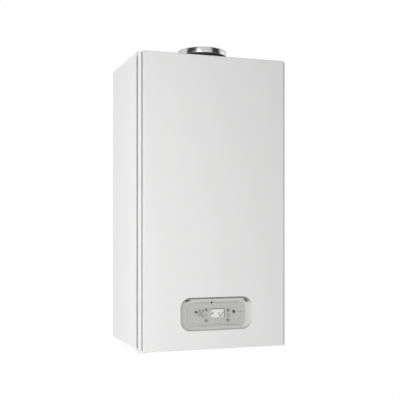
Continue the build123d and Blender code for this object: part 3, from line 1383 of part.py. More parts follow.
with BuildPart() as fascia:
    with BuildSketch(front_plane(FASCIA_BACK_D)):
        with Locations(window_spot):
            RectangleRounded(WINDOW_W + 2 * FASCIA_RIM, WINDOW_H + 2 * FASCIA_RIM, WINDOW_R + FASCIA_RIM)
    extrude(amount=FASCIA_T)
    with BuildSketch(front_plane(FASCIA_FRONT_D)):
        with Locations(window_spot):
            RectangleRounded(WINDOW_W + 1, WINDOW_H + 1, WINDOW_R + 0.5)
    with BuildSketch(front_plane(FASCIA_FRONT_D - DISH_RIM_DEEP)):
        with Locations(window_spot):
            RectangleRounded(WINDOW_W - 2 * DISH_RIM_IN, WINDOW_H - 2 * DISH_RIM_IN, WINDOW_R - DISH_RIM_IN)
    loft(mode=Mode.SUBTRACT)
    with BuildSketch(front_plane(FASCIA_FRONT_D - DISH_RIM_DEEP)):
        with Locations(window_spot):
            RectangleRounded(WINDOW_W - 2 * DISH_RIM_IN, WINDOW_H - 2 * DISH_RIM_IN, WINDOW_R - DISH_RIM_IN)
    with BuildSketch(front_plane(FLOOR_D)):
        with Locations(floor_spot):
            RectangleRounded(FLOOR_W, FLOOR_H, DISH_FLOOR_R)
    loft(mode=Mode.SUBTRACT)
    with BuildSketch(front_plane(FASCIA_BACK_D)):
        with Locations(floor_spot):
            RectangleRounded(FLOOR_W, FLOOR_H, DISH_FLOOR_R)
    extrude(amount=FLOOR_D - FLOOR_T - FASCIA_BACK_D, mode=Mode.SUBTRACT)
    with BuildSketch(front_plane(DISPLAY_FRONT_D)):
        with Locations(floor_spot):
            with GridLocations(FLOOR_W - 4 * DISPLAY_EDGE, FLOOR_H - 4 * DISPLAY_EDGE, 2, 2):
                Circle(2.5)
    extrude(amount=FLOOR_D - FLOOR_T - DISPLAY_FRONT_D)
    with BuildSketch(front_plane(FLOOR_D - FLOOR_T)):
        with Locations((LCD_X, up(LCD_H0))):
            Rectangle(LCD_W + 2 * GAP, LCD_H + 2 * GAP)
        for _, button_x, button_h0, button_r in BUTTONS:
            with Locations((button_x, up(button_h0))):
                Circle(button_r + GAP)
    extrude(amount=FLOOR_T, mode=Mode.SUBTRACT)
save(fascia, "fascia")

with BuildPart() as display_board:
    with BuildSketch(front_plane(DISPLAY_BOARD_D)):
        with Locations(floor_spot):
            Rectangle(FLOOR_W - 2 * DISPLAY_EDGE, FLOOR_H - 2)
    extrude(amount=BOARD_T)
save(display_board, "display_board")

with BuildPart() as lcd:
    with BuildSketch(front_plane(DISPLAY_FRONT_D)):
        with Locations((LCD_X, up(LCD_H0))):
            Rectangle(LCD_W, LCD_H)
    extrude(amount=FLOOR_D - LCD_BELOW - DISPLAY_FRONT_D)
save(lcd, "lcd")

rim_front_d = FLOOR_D - FLOOR_T - GAP
for button_name, button_x, button_h0, button_r in BUTTONS:
    button_spot = (button_x, up(button_h0))
    with BuildPart() as button:
        with BuildSketch(front_plane(DISPLAY_FRONT_D + BUTTON_TRAVEL + GAP)):
            with Locations(button_spot):
                Circle(BUTTON_STEM_R)
        extrude(amount=rim_front_d - DISPLAY_FRONT_D - BUTTON_TRAVEL - GAP)
        with BuildSketch(front_plane(rim_front_d - BUTTON_RIM_T)):
            with Locations(button_spot):
                Circle(button_r + BUTTON_RIM)
        extrude(amount=BUTTON_RIM_T)
        with BuildSketch(front_plane(rim_front_d)):
            with Locations(button_spot):
                Circle(button_r)
        extrude(amount=FLOOR_D + BUTTON_OUT - rim_front_d)
        fillet(button.faces().sort_by(Axis.Y)[0].edges(), radius=0.5)
    save(button, button_name)

# ================================================================ bottom panel, hinge tabs and cable entry
HOLE_PLAY = 7.0
GLAND_X = -100.0
GLAND_D = 215.0
GLAND_R = 8.0
TAB_BACK_D = BODY_D - 31.0
TAB_TOP_H0 = 33.0
TAB_STEP_H0 = 15.5  # tab passes above the seal

with BuildPart() as bottom_panel:
    with BuildSketch(level(0)):
        with Locations((0, -(BODY_D - SHEET - GAP) / 2)):
            Rectangle(2 * PANEL_X, BODY_D - SHEET - GAP)
        with Locations((0, -BODY_D / 2)):
            Rectangle(2 * FRONT_FLANGE_X, BODY_D)
        for tail_x, tail_r in TAILS:
            with Locations((tail_x, -TAIL_D)):
                Circle(tail_r + HOLE_PLAY, mode=Mode.SUBTRACT)
        with Locations((TRAP_X, -TRAP_D)):
            Circle(DRAIN_R + GAP, mode=Mode.SUBTRACT)
        with Locations((TAP_X, -TAP_D)):
            Circle(TAP_STEM_R + 2, mode=Mode.SUBTRACT)
        with Locations((GLAND_X, -GLAND_D)):
            Circle(GLAND_R + GAP, mode=Mode.SUBTRACT)
    extrude(amount=SHEET)
    with BuildSketch(level(SHEET)):
        with Locations((0, -BODY_D + SHEET / 2)):
            Rectangle(2 * FRONT_FLANGE_X, SHEET)
    extrude(amount=FLANGE)
    for side in (-1, 1):
        tab_x = side * (BOX_X + TAB_GAP + TAB_T / 2)
        with BuildSketch(Plane.YZ.offset(tab_x - TAB_T / 2)):
            with BuildLine():
                Polyline(
                    (-TAB_BACK_D, up(0)),
                    (-BODY_D + 4, up(0)),
                    (-BODY_D + 4, up(TAB_STEP_H0)),
                    (-HINGE_D - 8, up(TAB_STEP_H0)),
                    (-HINGE_D - 8, up(TAB_TOP_H0)),
                    (-HINGE_D + 8, up(TAB_TOP_H0)),
                    (-TAB_BACK_D, up(TAB_STEP_H0)),
                    close=True,
                )
            make_face()
            with Locations((-HINGE_D, up(HINGE_H0))):
                Circle(HINGE_R + RUN_FIT, mode=Mode.SUBTRACT)
        extrude(amount=TAB_T)
save(bottom_panel, "bottom_panel")

with BuildPart() as cable_gland:
    with BuildSketch(level(-4)):
        with Locations((GLAND_X, -GLAND_D)):
            RegularPolygon(GLAND_R + 4, 6)
    extrude(amount=4)
    with BuildSketch(level(-14)):
        with Locations((GLAND_X, -GLAND_D)):
            Circle(GLAND_R)
    extrude(amount=10 + 4 + SHEET)
    with BuildSketch(level(SHEET)):
        with Locations((GLAND_X, -GLAND_D)):
            RegularPolygon(GLAND_R + 4, 6)
    extrude(amount=5)
    with BuildSketch(level(-14)):
        with Locations((GLAND_X, -GLAND_D)):
            Circle(4)
    extrude(amount=14 + SHEET + 5, mode=Mode.SUBTRACT)
save(cable_gland, "cable_gland")

# Wiring loom from under the control box to the fan motor, up the right side
LOOM_R = 3.0
LOOM_X = 100.0
LOOM_LOW_H0 = 20.0
LOOM_SIDE = 11.8  # loom's axis from the right side panel
LOOM_D = 150.0
loom_reach = (MOTOR_R + GAP) / math.hypot(INNER_X - LOOM_SIDE - FAN_X, FAN_D - LOOM_D)
LOOM_END_X = FAN_X + (INNER_X - LOOM_SIDE - FAN_X) * loom_reach
LOOM_END_D = FAN_D - (FAN_D - LOOM_D) * loom_reach
LOOM_TOP_H0 = FAN_TOP_H0 + MOTOR_H * 0.6

wiring_loom = bent_pipe(
    [
        (LOOM_X, HINGE_D - 2, BOX_H0 - GAP),
        (LOOM_X, HINGE_D - 2, LOOM_LOW_H0),
        (LOOM_X, HINGE_D - 60, LOOM_LOW_H0),
        (INNER_X - LOOM_SIDE, LOOM_D, LOOM_LOW_H0 + 40),
        (INNER_X - LOOM_SIDE, LOOM_D, LOOM_TOP_H0),
        (LOOM_END_X, LOOM_END_D, LOOM_TOP_H0),
    ],
    [7, 15, 40, 18], LOOM_R)
save(wiring_loom, "wiring_loom")
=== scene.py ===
# %% [markdown]
# # A wall-hung combi boiler
# A combi boiler heats the rooms and the tap water of a home. From outside it is a tall white box of painted
# sheet steel that hangs on the wall. A shallow front cover hides the works, a grey control panel sits low
# in a window of the cover, and a bright metal collar on top takes the flue pipe.
#
# The engineering model is loaded first and is never moved or reshaped. Blender's job here is the looks:
# finishes for every part, the markings of the panel, the bright collar, screws, ribs and cable ties.

# %% Load the engineering model
import json
import math

import bmesh
import bpy
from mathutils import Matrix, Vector
from mathutils.bvhtree import BVHTree


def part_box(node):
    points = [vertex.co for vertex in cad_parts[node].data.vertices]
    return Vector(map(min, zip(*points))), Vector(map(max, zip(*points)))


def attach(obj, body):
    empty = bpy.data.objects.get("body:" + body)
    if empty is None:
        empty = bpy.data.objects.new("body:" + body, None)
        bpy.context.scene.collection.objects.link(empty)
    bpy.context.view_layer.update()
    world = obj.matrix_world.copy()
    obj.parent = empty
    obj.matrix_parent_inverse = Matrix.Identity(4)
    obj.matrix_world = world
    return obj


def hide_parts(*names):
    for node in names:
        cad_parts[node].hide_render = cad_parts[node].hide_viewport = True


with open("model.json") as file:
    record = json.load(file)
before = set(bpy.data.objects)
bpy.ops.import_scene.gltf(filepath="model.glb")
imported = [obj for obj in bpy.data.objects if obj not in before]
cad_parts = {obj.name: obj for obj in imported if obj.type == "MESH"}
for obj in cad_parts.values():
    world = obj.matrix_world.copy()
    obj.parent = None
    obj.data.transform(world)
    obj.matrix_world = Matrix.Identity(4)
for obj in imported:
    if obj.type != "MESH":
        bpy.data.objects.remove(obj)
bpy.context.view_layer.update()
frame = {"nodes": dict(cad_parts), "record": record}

parts = frame["nodes"]

# %% [markdown]
# ## Measuring from the casing
# Everything on a boiler is dimensioned from the bottom of its casing and from the wall. A small helper
# turns such a dimension, in millimetres, into a place in the scene. The wall is the plane y = 0, and the
# room lies towards negative y. Working in the maker's own dimensions keeps the numbers below easy to check.

# %% Places on the casing
MM = 0.001
CASING_BOTTOM = -720.0  # height of the casing's lower edge below the bracket's centre
CASING_FRONT = 325.0  # distance of the cover's face from the wall
CASING_TALL = 770.0


def place(x, height, depth):
    """A point from its x, its height above the casing's bottom and its distance from the wall, in mm."""
    return Vector((x * MM, -depth * MM, (CASING_BOTTOM + height) * MM))


print("middle of the cover:", tuple(round(v, 3) for v in place(0, 385, CASING_FRONT)))

# %% [markdown]
# ## The camera
# The photograph was taken from the left, a little below the middle of the casing, with the camera held level.
# A level camera keeps the vertical edges upright. Its lens is shifted up a little instead of tilted, as a
# studio photographer does for furniture and appliances.

# %% Camera
IMAGE_PIXELS = 400
FOCAL_PIXELS = 770.7
SENSOR_MM = 36.0
CAMERA_TURN = math.radians(-18.986)
CAMERA_SHIFT = 0.073
CAMERA_SPOT = (-692.4, 312.5, 2211.8)

camera_data = bpy.data.cameras.new("camera")
camera_data.sensor_width = SENSOR_MM
camera_data.lens = FOCAL_PIXELS / IMAGE_PIXELS * SENSOR_MM
camera_data.shift_y = CAMERA_SHIFT
camera = bpy.data.objects.new("camera", camera_data)
bpy.context.scene.collection.objects.link(camera)
camera.location = place(*CAMERA_SPOT)
camera.rotation_euler = (math.radians(90), 0, CAMERA_TURN)
bpy.context.scene.camera = camera
print("lens", round(camera_data.lens, 1), "mm")

# %% [markdown]
# ## The studio
# The boiler stands out against plain white, and stronger lamps could bleach a grey room to that white. They
# would bleach the paint as well. So the backdrop and the floor are white only for the camera and for
# reflections, which the Light Path node tells apart, and the background adds no stray light to the paint.

# %% White for the camera and for reflections
SEEN_RAYS = ("Is Camera Ray", "Is Glossy Ray", "Is Transmission Ray")


def seen_directly(tree):
    """A value of 1 for rays from the camera, a reflection or a glass, and 0 for light that scatters."""
    path = tree.nodes.new("ShaderNodeLightPath")
    total = path.outputs[SEEN_RAYS[0]]
    for ray in SEEN_RAYS[1:]:
        larger = tree.nodes.new("ShaderNodeMath")
        larger.operation = "MAXIMUM"
        tree.links.new(total, larger.inputs[0])
        tree.links.new(path.outputs[ray], larger.inputs[1])
        total = larger.outputs[0]
    return total


def white_where_seen(tree, plain, white, output):
    """Mixes a white shader over a plain one for the rays that see it directly."""
    mix = tree.nodes.new("ShaderNodeMixShader")
    tree.links.new(seen_directly(tree), mix.inputs["Fac"])
    tree.links.new(plain, mix.inputs[1])
    tree.links.new(white, mix.inputs[2])
    tree.links.new(mix.outputs[0], output)


print("rays that see the white:", SEEN_RAYS)

# %% [markdown]
# The world is a plain grey dome that lights every side of the boiler a little, so that no side is black.
# The lamps add the rest.

# %% World
AMBIENT = 0.41
world = bpy.data.worlds.new("studio")
bpy.context.scene.world = world
world.use_nodes = True
sky = world.node_tree
ambient_light = sky.nodes["Background"]
ambient_light.inputs["Color"].default_value = (1, 1, 1, 1)
ambient_light.inputs["Strength"].default_value = AMBIENT
white_sky = sky.nodes.new("ShaderNodeBackground")
white_sky.inputs["Color"].default_value = (1, 1, 1, 1)
white_sky.inputs["Strength"].default_value = 1.0
white_where_seen(sky, ambient_light.outputs[0], white_sky.outputs[0],
                 sky.nodes["World Output"].inputs["Surface"])
print("ambient light:", AMBIENT)

# %% [markdown]
# The boiler hangs well above the floor, as it does in a home. One large square is enough for it, because
# nothing but a faint shadow falls on it.

# %% Floor
FLOOR_BELOW = 900.0
FLOOR_HALF = 9.0
floor_mesh = bpy.data.meshes.new("floor")
floor_level = place(0, -FLOOR_BELOW, 0).z
floor_mesh.from_pydata(
    [(x, y, floor_level) for x, y in ((-FLOOR_HALF, -FLOOR_HALF), (FLOOR_HALF, -FLOOR_HALF),
                                      (FLOOR_HALF, FLOOR_HALF), (-FLOOR_HALF, FLOOR_HALF))],
    [], [(0, 1, 2, 3)])
floor = bpy.data.objects.new("floor", floor_mesh)
bpy.context.scene.collection.objects.link(floor)

floor_finish = bpy.data.materials.new("pale floor")
floor_finish.use_nodes = True
floor_tree = floor_finish.node_tree
floor_tree.nodes["Principled BSDF"].inputs["Base Color"].default_value = (0.86, 0.86, 0.86, 1)
floor_tree.nodes["Principled BSDF"].inputs["Roughness"].default_value = 0.9
floor_white = floor_tree.nodes.new("ShaderNodeEmission")
floor_white.inputs["Color"].default_value = (1, 1, 1, 1)
white_where_seen(floor_tree, floor_tree.nodes["Principled BSDF"].outputs[0], floor_white.outputs[0],
                 floor_tree.nodes["Material Output"].inputs["Surface"])
floor_mesh.materials.append(floor_finish)
bpy.context.scene.view_settings.view_transform = "Standard"
print("floor at", round(floor_level, 2), "m")

# %% [markdown]
# ## The lamps
# Three soft lamps stand low near the left front corner, at different distances. Because they are near, the
# cover is brighter at its lower left than at its upper right, which is the soft gradient that the
# photograph shows. One far lamp would light the whole cover evenly and lose it. A lamp from the left lifts
# the side panel, one by the camera fills the front, and one from the right keeps the far edge from going
# dull.


# %% Lamps
def soft_lamp(name, where, aim, size, watts):
    """A square area lamp that looks at a point."""
    data = bpy.data.lights.new(name, "AREA")
    data.shape = "SQUARE"
    data.size = size
    data.energy = watts
    lamp = bpy.data.objects.new(name, data)
    bpy.context.scene.collection.objects.link(lamp)
    lamp.location = where
    lamp.rotation_euler = (aim - where).to_track_quat("-Z", "Y").to_euler()
    return lamp


LAMPS = (  # name, place, size in m, power in W
    ("key lamp", (-1900, 200, 1500), 2.6, 19.8),
    ("near lamp", (-900, 250, 1100), 1.2, 3.6),
    ("corner lamp", (-1200, 120, 1600), 1.6, 5.4),
    ("side lamp", (-2100, 500, 250), 2.4, 4.0),
    ("front lamp", (-400, 300, 2600), 1.6, 2.4),
    ("right lamp", (2200, 500, 60), 1.4, 5.0),
)
CASING_MID_DEPTH = 160.0
casing_middle = place(0, CASING_TALL / 2, CASING_MID_DEPTH)
for name, where, size, watts in LAMPS:
    soft_lamp(name, place(*where), casing_middle, size, watts)

# %% [markdown]
# ## Finishes
# A finished surface is never one flat colour. Each finish starts from a colour and a gloss, then gets a
# fine grain that tilts the surface a few micrometres, a slow change of gloss and a faint change of shade. A
# scanned image could give the same, but it would have to be unwrapped onto every part. These patterns are
# worked out from object coordinates in metres, so a grain scale of 700 means marks about 1.4 mm apart on
# any part.


# %% Tools for finishes
def start_finish(name, colour, metallic=0.0):
    """A material with its colour set, and the coordinates that patterns read."""
    finish = bpy.data.materials.new(name)
    finish.use_nodes = True
    surface = finish.node_tree.nodes["Principled BSDF"]
    surface.inputs["Base Color"].default_value = (*colour, 1)
    surface.inputs["Metallic"].default_value = metallic
    coordinates = finish.node_tree.nodes.new("ShaderNodeTexCoord")
    return finish, finish.node_tree, surface, coordinates.outputs["Object"]


def speckle(tree, where, scale, detail=3.0, stretch=(1, 1, 1)):
    """Noise on the part, drawn out along an axis where its stretch is small."""
    mapping = tree.nodes.new("ShaderNodeMapping")
    mapping.inputs["Scale"].default_value = stretch
    noise = tree.nodes.new("ShaderNodeTexNoise")
    noise.inputs["Scale"].default_value = scale
    noise.inputs["Detail"].default_value = detail
    tree.links.new(where, mapping.inputs["Vector"])
    tree.links.new(mapping.outputs["Vector"], noise.inputs["Vector"])
    return noise.outputs["Fac"]


def spread(tree, value, low, high, start=0.3, end=0.7):
    """Turns a pattern's middle range into values from low to high."""
    scaled = tree.nodes.new("ShaderNodeMapRange")
    for label, number in (("From Min", start), ("From Max", end), ("To Min", low), ("To Max", high)):
        scaled.inputs[label].default_value = number
    tree.links.new(value, scaled.inputs["Value"])
    return scaled.outputs["Result"]


def blend_colours(tree, value, dark, light):
    """Two colours mixed by a pattern."""
    mix = tree.nodes.new("ShaderNodeMix")
    mix.data_type = "RGBA"
    mix.inputs[6].default_value = (*dark, 1)
    mix.inputs[7].default_value = (*light, 1)
    tree.links.new(value, mix.inputs[0])
    return mix.outputs[2]


def tilt(tree, surface, height, depth_mm):
    """Bumps the surface by a pattern, depth_mm high."""
    bump = tree.nodes.new("ShaderNodeBump")
    bump.inputs["Distance"].default_value = depth_mm * MM
    tree.links.new(height, bump.inputs["Height"])
    tree.links.new(bump.outputs["Normal"], surface.inputs["Normal"])


def make_finish(name, colour, gloss, grain, shade=0.04, metallic=0.0, stretch=(1, 1, 1), patch=9.0):
    """The common recipe. gloss is (least, most) roughness, grain is (scale, depth in mm)."""
    finish, tree, surface, where = start_finish(name, colour, metallic)
    fine = speckle(tree, where, grain[0], stretch=stretch)
    slow = speckle(tree, where, patch)
    darker = tuple(c * (1 - shade) for c in colour)
    shades = blend_colours(tree, spread(tree, slow, 0, 1), darker, colour)
    tree.links.new(shades, surface.inputs["Base Color"])
    tree.links.new(spread(tree, fine, gloss[0], gloss[1]), surface.inputs["Roughness"])
    tilt(tree, surface, fine, grain[1])
    return finish


print("finish tools ready")

# %% [markdown]
# ## The finishes of this boiler
# White powder coat has a slight orange peel. Stainless steel and bent sheet keep the lines of the rolling
# mill, which the stretched grain gives. Cast metal is rougher and shows the sand or the die. Moulded
# plastic has the even spark-eroded texture of its tool. One recipe with different numbers makes them all,
# so they stay alike under any light.

# %% Plain finishes
PANEL_GREY = (0.54, 0.54, 0.525)
FINISHES = {
    "white_paint": make_finish("white powder coat", (0.86, 0.86, 0.855), (0.34, 0.44), (750, 0.006), 0.012),
    "vessel_paint": make_finish("grey enamel", (0.36, 0.37, 0.38), (0.3, 0.42), (500, 0.01), 0.05),
    "black_rubber": make_finish("black rubber", (0.022, 0.022, 0.022), (0.6, 0.8), (1400, 0.02), 0.2),
    "white_plastic": make_finish("white plastic", (0.74, 0.74, 0.71), (0.38, 0.5), (1500, 0.006), 0.03),
    "dark_plastic": make_finish("black plastic", (0.035, 0.036, 0.04), (0.4, 0.55), (1800, 0.012), 0.1),
    "fascia_grey": make_finish("grey panel plastic", PANEL_GREY, (0.3, 0.4), (1600, 0.004), 0.02),
    "button_grey": make_finish("dark button plastic", (0.13, 0.13, 0.13), (0.4, 0.5), (2400, 0.006), 0.05),
    "red_plastic": make_finish("red plastic", (0.55, 0.035, 0.03), (0.3, 0.4), (1500, 0.006), 0.06),
    "blue_plastic": make_finish("blue plastic", (0.03, 0.10, 0.36), (0.3, 0.4), (1500, 0.006), 0.06),
    "stainless": make_finish(
        "stainless steel", (0.60, 0.59, 0.58), (0.24, 0.42), (240, 0.004), 0.08, 1.0, stretch=(1, 1, 0.06)),
    "cast_aluminium": make_finish("cast aluminium", (0.56, 0.57, 0.58), (0.42, 0.6), (900, 0.05), 0.1, 1.0),
    "copper": make_finish("copper tube", (0.72, 0.36, 0.22), (0.2, 0.42), (120, 0.002), 0.3, 1.0, patch=30.0),
    "brass": make_finish(
        "pressed brass", (0.70, 0.51, 0.26), (0.3, 0.48), (800, 0.03), 0.15, 1.0, patch=25.0),
    "chrome": make_finish("polished chrome", (0.55, 0.55, 0.56), (0.21, 0.25), (60, 0.0004), 0.02, 1.0),
}
print("plain finishes:", len(FINISHES))

# %% [markdown]
# Galvanised sheet shows spangle, the crystals of its zinc, which a Voronoi pattern gives: each cell has its
# own shade and gloss. A circuit board has rows of copper tracks under green lacquer, drawn with a brick
# pattern. A braided sleeve crosses two sets of waves. The display is faintly cloudy under a clear coat. The
# dished panel changes its shade with depth alone.


# %% Patterned finishes
def galvanised_finish():
    """Zinc spangle: cells about 9 mm across."""
    finish, tree, surface, where = start_finish("galvanised sheet", (0.58, 0.59, 0.60), 1.0)
    cells = tree.nodes.new("ShaderNodeTexVoronoi")
    cells.inputs["Scale"].default_value = 110.0
    tree.links.new(where, cells.inputs["Vector"])
    split = tree.nodes.new("ShaderNodeSeparateColor")
    tree.links.new(cells.outputs["Color"], split.inputs["Color"])
    shade = blend_colours(tree, split.outputs[0], (0.44, 0.45, 0.46), (0.63, 0.64, 0.65))
    tree.links.new(shade, surface.inputs["Base Color"])
    tree.links.new(spread(tree, split.outputs[1], 0.34, 0.55, 0, 1), surface.inputs["Roughness"])
    tilt(tree, surface, speckle(tree, where, 600), 0.004)
    return finish


def board_finish():
    """Green lacquer over copper tracks."""
    finish, tree, surface, where = start_finish("circuit board", (0.02, 0.14, 0.06))
    turned = tree.nodes.new("ShaderNodeMapping")
    turned.inputs["Rotation"].default_value = (math.radians(90), 0, 0)
    tree.links.new(where, turned.inputs["Vector"])
    tracks = tree.nodes.new("ShaderNodeTexBrick")
    tracks.inputs["Scale"].default_value = 90.0
    tracks.inputs["Mortar Size"].default_value = 0.03
    tracks.inputs["Color1"].default_value = (0.02, 0.14, 0.06, 1)
    tracks.inputs["Color2"].default_value = (0.03, 0.17, 0.07, 1)
    tracks.inputs["Mortar"].default_value = (0.08, 0.32, 0.13, 1)
    tree.links.new(turned.outputs["Vector"], tracks.inputs["Vector"])
    tree.links.new(tracks.outputs["Color"], surface.inputs["Base Color"])
    tree.links.new(spread(tree, speckle(tree, where, 300), 0.25, 0.4), surface.inputs["Roughness"])
    tilt(tree, surface, tracks.outputs["Fac"], 0.03)
    return finish


def sleeve_finish():
    """Two sets of fine bands crossing, as in a braided sleeve."""
    finish, tree, surface, where = start_finish("braided sleeve", (0.03, 0.03, 0.032))
    heights = []
    for turn in (40, -40):
        turned = tree.nodes.new("ShaderNodeMapping")
        turned.inputs["Rotation"].default_value = (0, math.radians(turn), 0)
        bands = tree.nodes.new("ShaderNodeTexWave")
        bands.inputs["Scale"].default_value = 260.0
        tree.links.new(where, turned.inputs["Vector"])
        tree.links.new(turned.outputs["Vector"], bands.inputs["Vector"])
        heights.append(bands.outputs["Fac"])
    both = tree.nodes.new("ShaderNodeMath")
    both.operation = "MAXIMUM"
    tree.links.new(heights[0], both.inputs[0])
    tree.links.new(heights[1], both.inputs[1])
    shade = blend_colours(tree, both.outputs[0], (0.012, 0.012, 0.012), (0.06, 0.06, 0.062))
    tree.links.new(shade, surface.inputs["Base Color"])
    surface.inputs["Roughness"].default_value = 0.6
    tilt(tree, surface, both.outputs[0], 0.15)
    return finish


def display_finish():
    """A pale liquid crystal display under a clear window, faintly cloudy."""
    finish, tree, surface, where = start_finish("display", (0.84, 0.84, 0.82))
    cloudy = spread(tree, speckle(tree, where, 60), 0, 1)
    shades = blend_colours(tree, cloudy, (0.78, 0.79, 0.77), (0.87, 0.87, 0.85))
    tree.links.new(shades, surface.inputs["Base Color"])
    surface.inputs["Roughness"].default_value = 0.18
    surface.inputs["Coat Weight"].default_value = 0.6
    surface.inputs["Coat Roughness"].default_value = 0.04
    tilt(tree, surface, speckle(tree, where, 3000), 0.001)
    return finish


WALL_FROM = 0.3152  # distance from the wall of the room, in m, at which the dish's floor turns into its wall
WALL_GREY = (0.63, 0.63, 0.615)


def dish_finish():
    """The panel's plastic, a shade lighter on the sloping wall of the dish than on its flat floor."""
    finish, tree, surface, where = start_finish("dished panel plastic", PANEL_GREY)
    split = tree.nodes.new("ShaderNodeSeparateXYZ")
    tree.links.new(where, split.inputs["Vector"])
    wall = spread(tree, split.outputs["Y"], 1, 0, -WALL_FROM - 0.001, -WALL_FROM)
    fine = speckle(tree, where, 1600)
    tree.links.new(blend_colours(tree, wall, PANEL_GREY, WALL_GREY), surface.inputs["Base Color"])
    tree.links.new(spread(tree, fine, 0.3, 0.4), surface.inputs["Roughness"])
    tilt(tree, surface, fine, 0.004)
    return finish


FINISHES["galvanised"] = galvanised_finish()
FINISHES["circuit_board"] = board_finish()
FINISHES["cable"] = sleeve_finish()
FINISHES["display"] = display_finish()
print("all finishes:", len(FINISHES))

# %% [markdown]
# ## Dressing the parts
# The engineering record says which finish each part takes, so one loop dresses them all, and no part is
# forgotten. The buttons differ in tone on the real panel, so a few of them get their own shade of the same
# plastic. The foam seal behind the cover gives back hardly any light, even at a flat angle, which keeps the
# joint line dark.

# %% Give each part its finish
slot_of = {row["node"]: row["material_slot"] for row in frame["record"]["subparts"]}
BUTTON_GRAIN = (2400, 0.006)
mid_button = make_finish("mid grey button plastic", (0.34, 0.34, 0.335), (0.4, 0.5), BUTTON_GRAIN, 0.05)
own_finish = {name: mid_button for name in parts
              if name.startswith(("water_", "heating_")) and name.endswith("_button")}
own_finish["power_button"] = make_finish(
    "pale button plastic", (0.46, 0.46, 0.445), (0.3, 0.4), BUTTON_GRAIN, 0.02)
own_finish["reset_button"] = make_finish(
    "black button plastic", (0.05, 0.05, 0.05), (0.4, 0.5), BUTTON_GRAIN, 0.05)
# this near-black finish is the foam seal's, and it also paints the shade strips at the cover's joint
seal_rubber_and_joint_shade = make_finish("foam rubber", (0.012, 0.012, 0.012), (0.95, 1.0), (1400, 0.02), 0.2)
seal_rubber_and_joint_shade.node_tree.nodes["Principled BSDF"].inputs["Specular IOR Level"].default_value = 0.05
own_finish["cover_seal"] = seal_rubber_and_joint_shade
own_finish["fascia"] = dish_finish()
for name, part in parts.items():
    part.data.materials.clear()
    part.data.materials.append(own_finish.get(name, FINISHES[slot_of[name]]))
print("parts dressed:", len(parts), "of them with a finish of their own:", len(own_finish))

# %% [markdown]
# ## Making pieces
# New pieces are meshes whose places are in their points, like those of the engineering parts. Moving a
# ready shape into place would be quicker, but its place would then be in the object, and patterns on object
# coordinates would slide. A small helper puts a mesh in the scene, dresses it with its own finish or with the
# finish of its slot, and says which body it moves with.


# %% Tools for pieces
def add_piece(mesh, name, body, slot, finish=None):
    """Puts a finished mesh in the scene, on the body that it moves with."""
    piece = bpy.data.objects.new(name, mesh)
    bpy.context.scene.collection.objects.link(piece)
    mesh.materials.clear()
    mesh.materials.append(finish or FINISHES[slot])
    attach(piece, body)
    return piece


def mesh_from(work, name, smooth_angle=None):
    """Turns a bmesh into a mesh with its faces pointing outwards."""
    bmesh.ops.remove_doubles(work, verts=work.verts, dist=1e-7)
    bmesh.ops.recalc_face_normals(work, faces=work.faces)
    mesh = bpy.data.meshes.new(name)
    work.to_mesh(mesh)
    work.free()
    if smooth_angle is not None:
        mesh.shade_smooth()
        mesh.set_sharp_from_angle(angle=math.radians(smooth_angle))
    return mesh


def turned(name, profile, centre_x, centre_depth, segments=128):
    """A ring or cap turned on an upright axis. The profile is a closed list of (radius, height) in mm."""
    work = bmesh.new()
    ring = [work.verts.new(place(centre_x + r, h, centre_depth)) for r, h in profile]
    edges = [work.edges.new((ring[i], ring[(i + 1) % len(ring)])) for i in range(len(ring))]
    bmesh.ops.spin(work, geom=ring + edges, cent=place(centre_x, 0, centre_depth), axis=(0, 0, 1),
                   angle=math.tau, steps=segments, use_duplicate=False)
    return mesh_from(work, name, 35)


def round_corner(centre_r, centre_h, radius, start, end, steps=8):
    """Points of a rounded corner in a profile, from one angle to another, in degrees."""
    angles = [math.radians(start + (end - start) * i / steps) for i in range(steps + 1)]
    return [(centre_r + radius * math.cos(a), centre_h + radius * math.sin(a)) for a in angles]


print("piece tools ready")

# %% [markdown]
# ## The flue collar
# The collar is a heavy turned ring with a polished face and a rounded lip. Its whole character is in how
# its round wall bends the studio into bands. It could be a cylinder with a bevel. Spinning one profile
# gives the wall, the lip, the face and the bore in one skin, with true round corners and many more segments
# than the engineering model has. It stands in for the model's collar and is exactly as large.

# %% Flue collar
FLUE_DEPTH = 215.0
COLLAR_LOW, COLLAR_TOP = 782.5, 798.5
COLLAR_R, COLLAR_BORE = 67.5, 50.5
LIP_R, BORE_LIP_R = 4.0, 1.5
FOOT_R = 1.0

collar_profile = (
    round_corner(COLLAR_R - FOOT_R, COLLAR_LOW + FOOT_R, FOOT_R, -90, 0, 4)
    + round_corner(COLLAR_R - LIP_R, COLLAR_TOP - LIP_R, LIP_R, 0, 90, 10)
    + round_corner(COLLAR_BORE + BORE_LIP_R, COLLAR_TOP - BORE_LIP_R, BORE_LIP_R, 90, 180, 5)
    + [(COLLAR_BORE, COLLAR_LOW)]
)
collar = add_piece(turned("flue_collar_ring", collar_profile, 0, FLUE_DEPTH, 160),
                   "flue_collar_ring", "chassis", "chrome")
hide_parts("flue_collar")
print("collar faces:", len(collar.data.polygons))

# %% [markdown]
# ## Flags beside the camera
# Polished metal looks like metal only when it has something dark to reflect. A photographer stands black
# flags left and right of the camera for that, so the collar shows a pale middle between two dark bands. The
# flags here are seen by reflections alone: they cast no shadow, and the camera looks through them.

# %% Black flags
FLAG_AWAY = 1500.0
FLAG_LOW, FLAG_TOP = 500.0, 3200.0
FLAG_BEARINGS = {"left_flag": (-90.0, -42.0), "right_flag": (27.0, 69.0)}

flag_finish = bpy.data.materials.new("black flag")
flag_finish.use_nodes = True
flag_finish.node_tree.nodes["Principled BSDF"].inputs["Base Color"].default_value = (0.01, 0.01, 0.01, 1)
flag_finish.node_tree.nodes["Principled BSDF"].inputs["Roughness"].default_value = 0.9

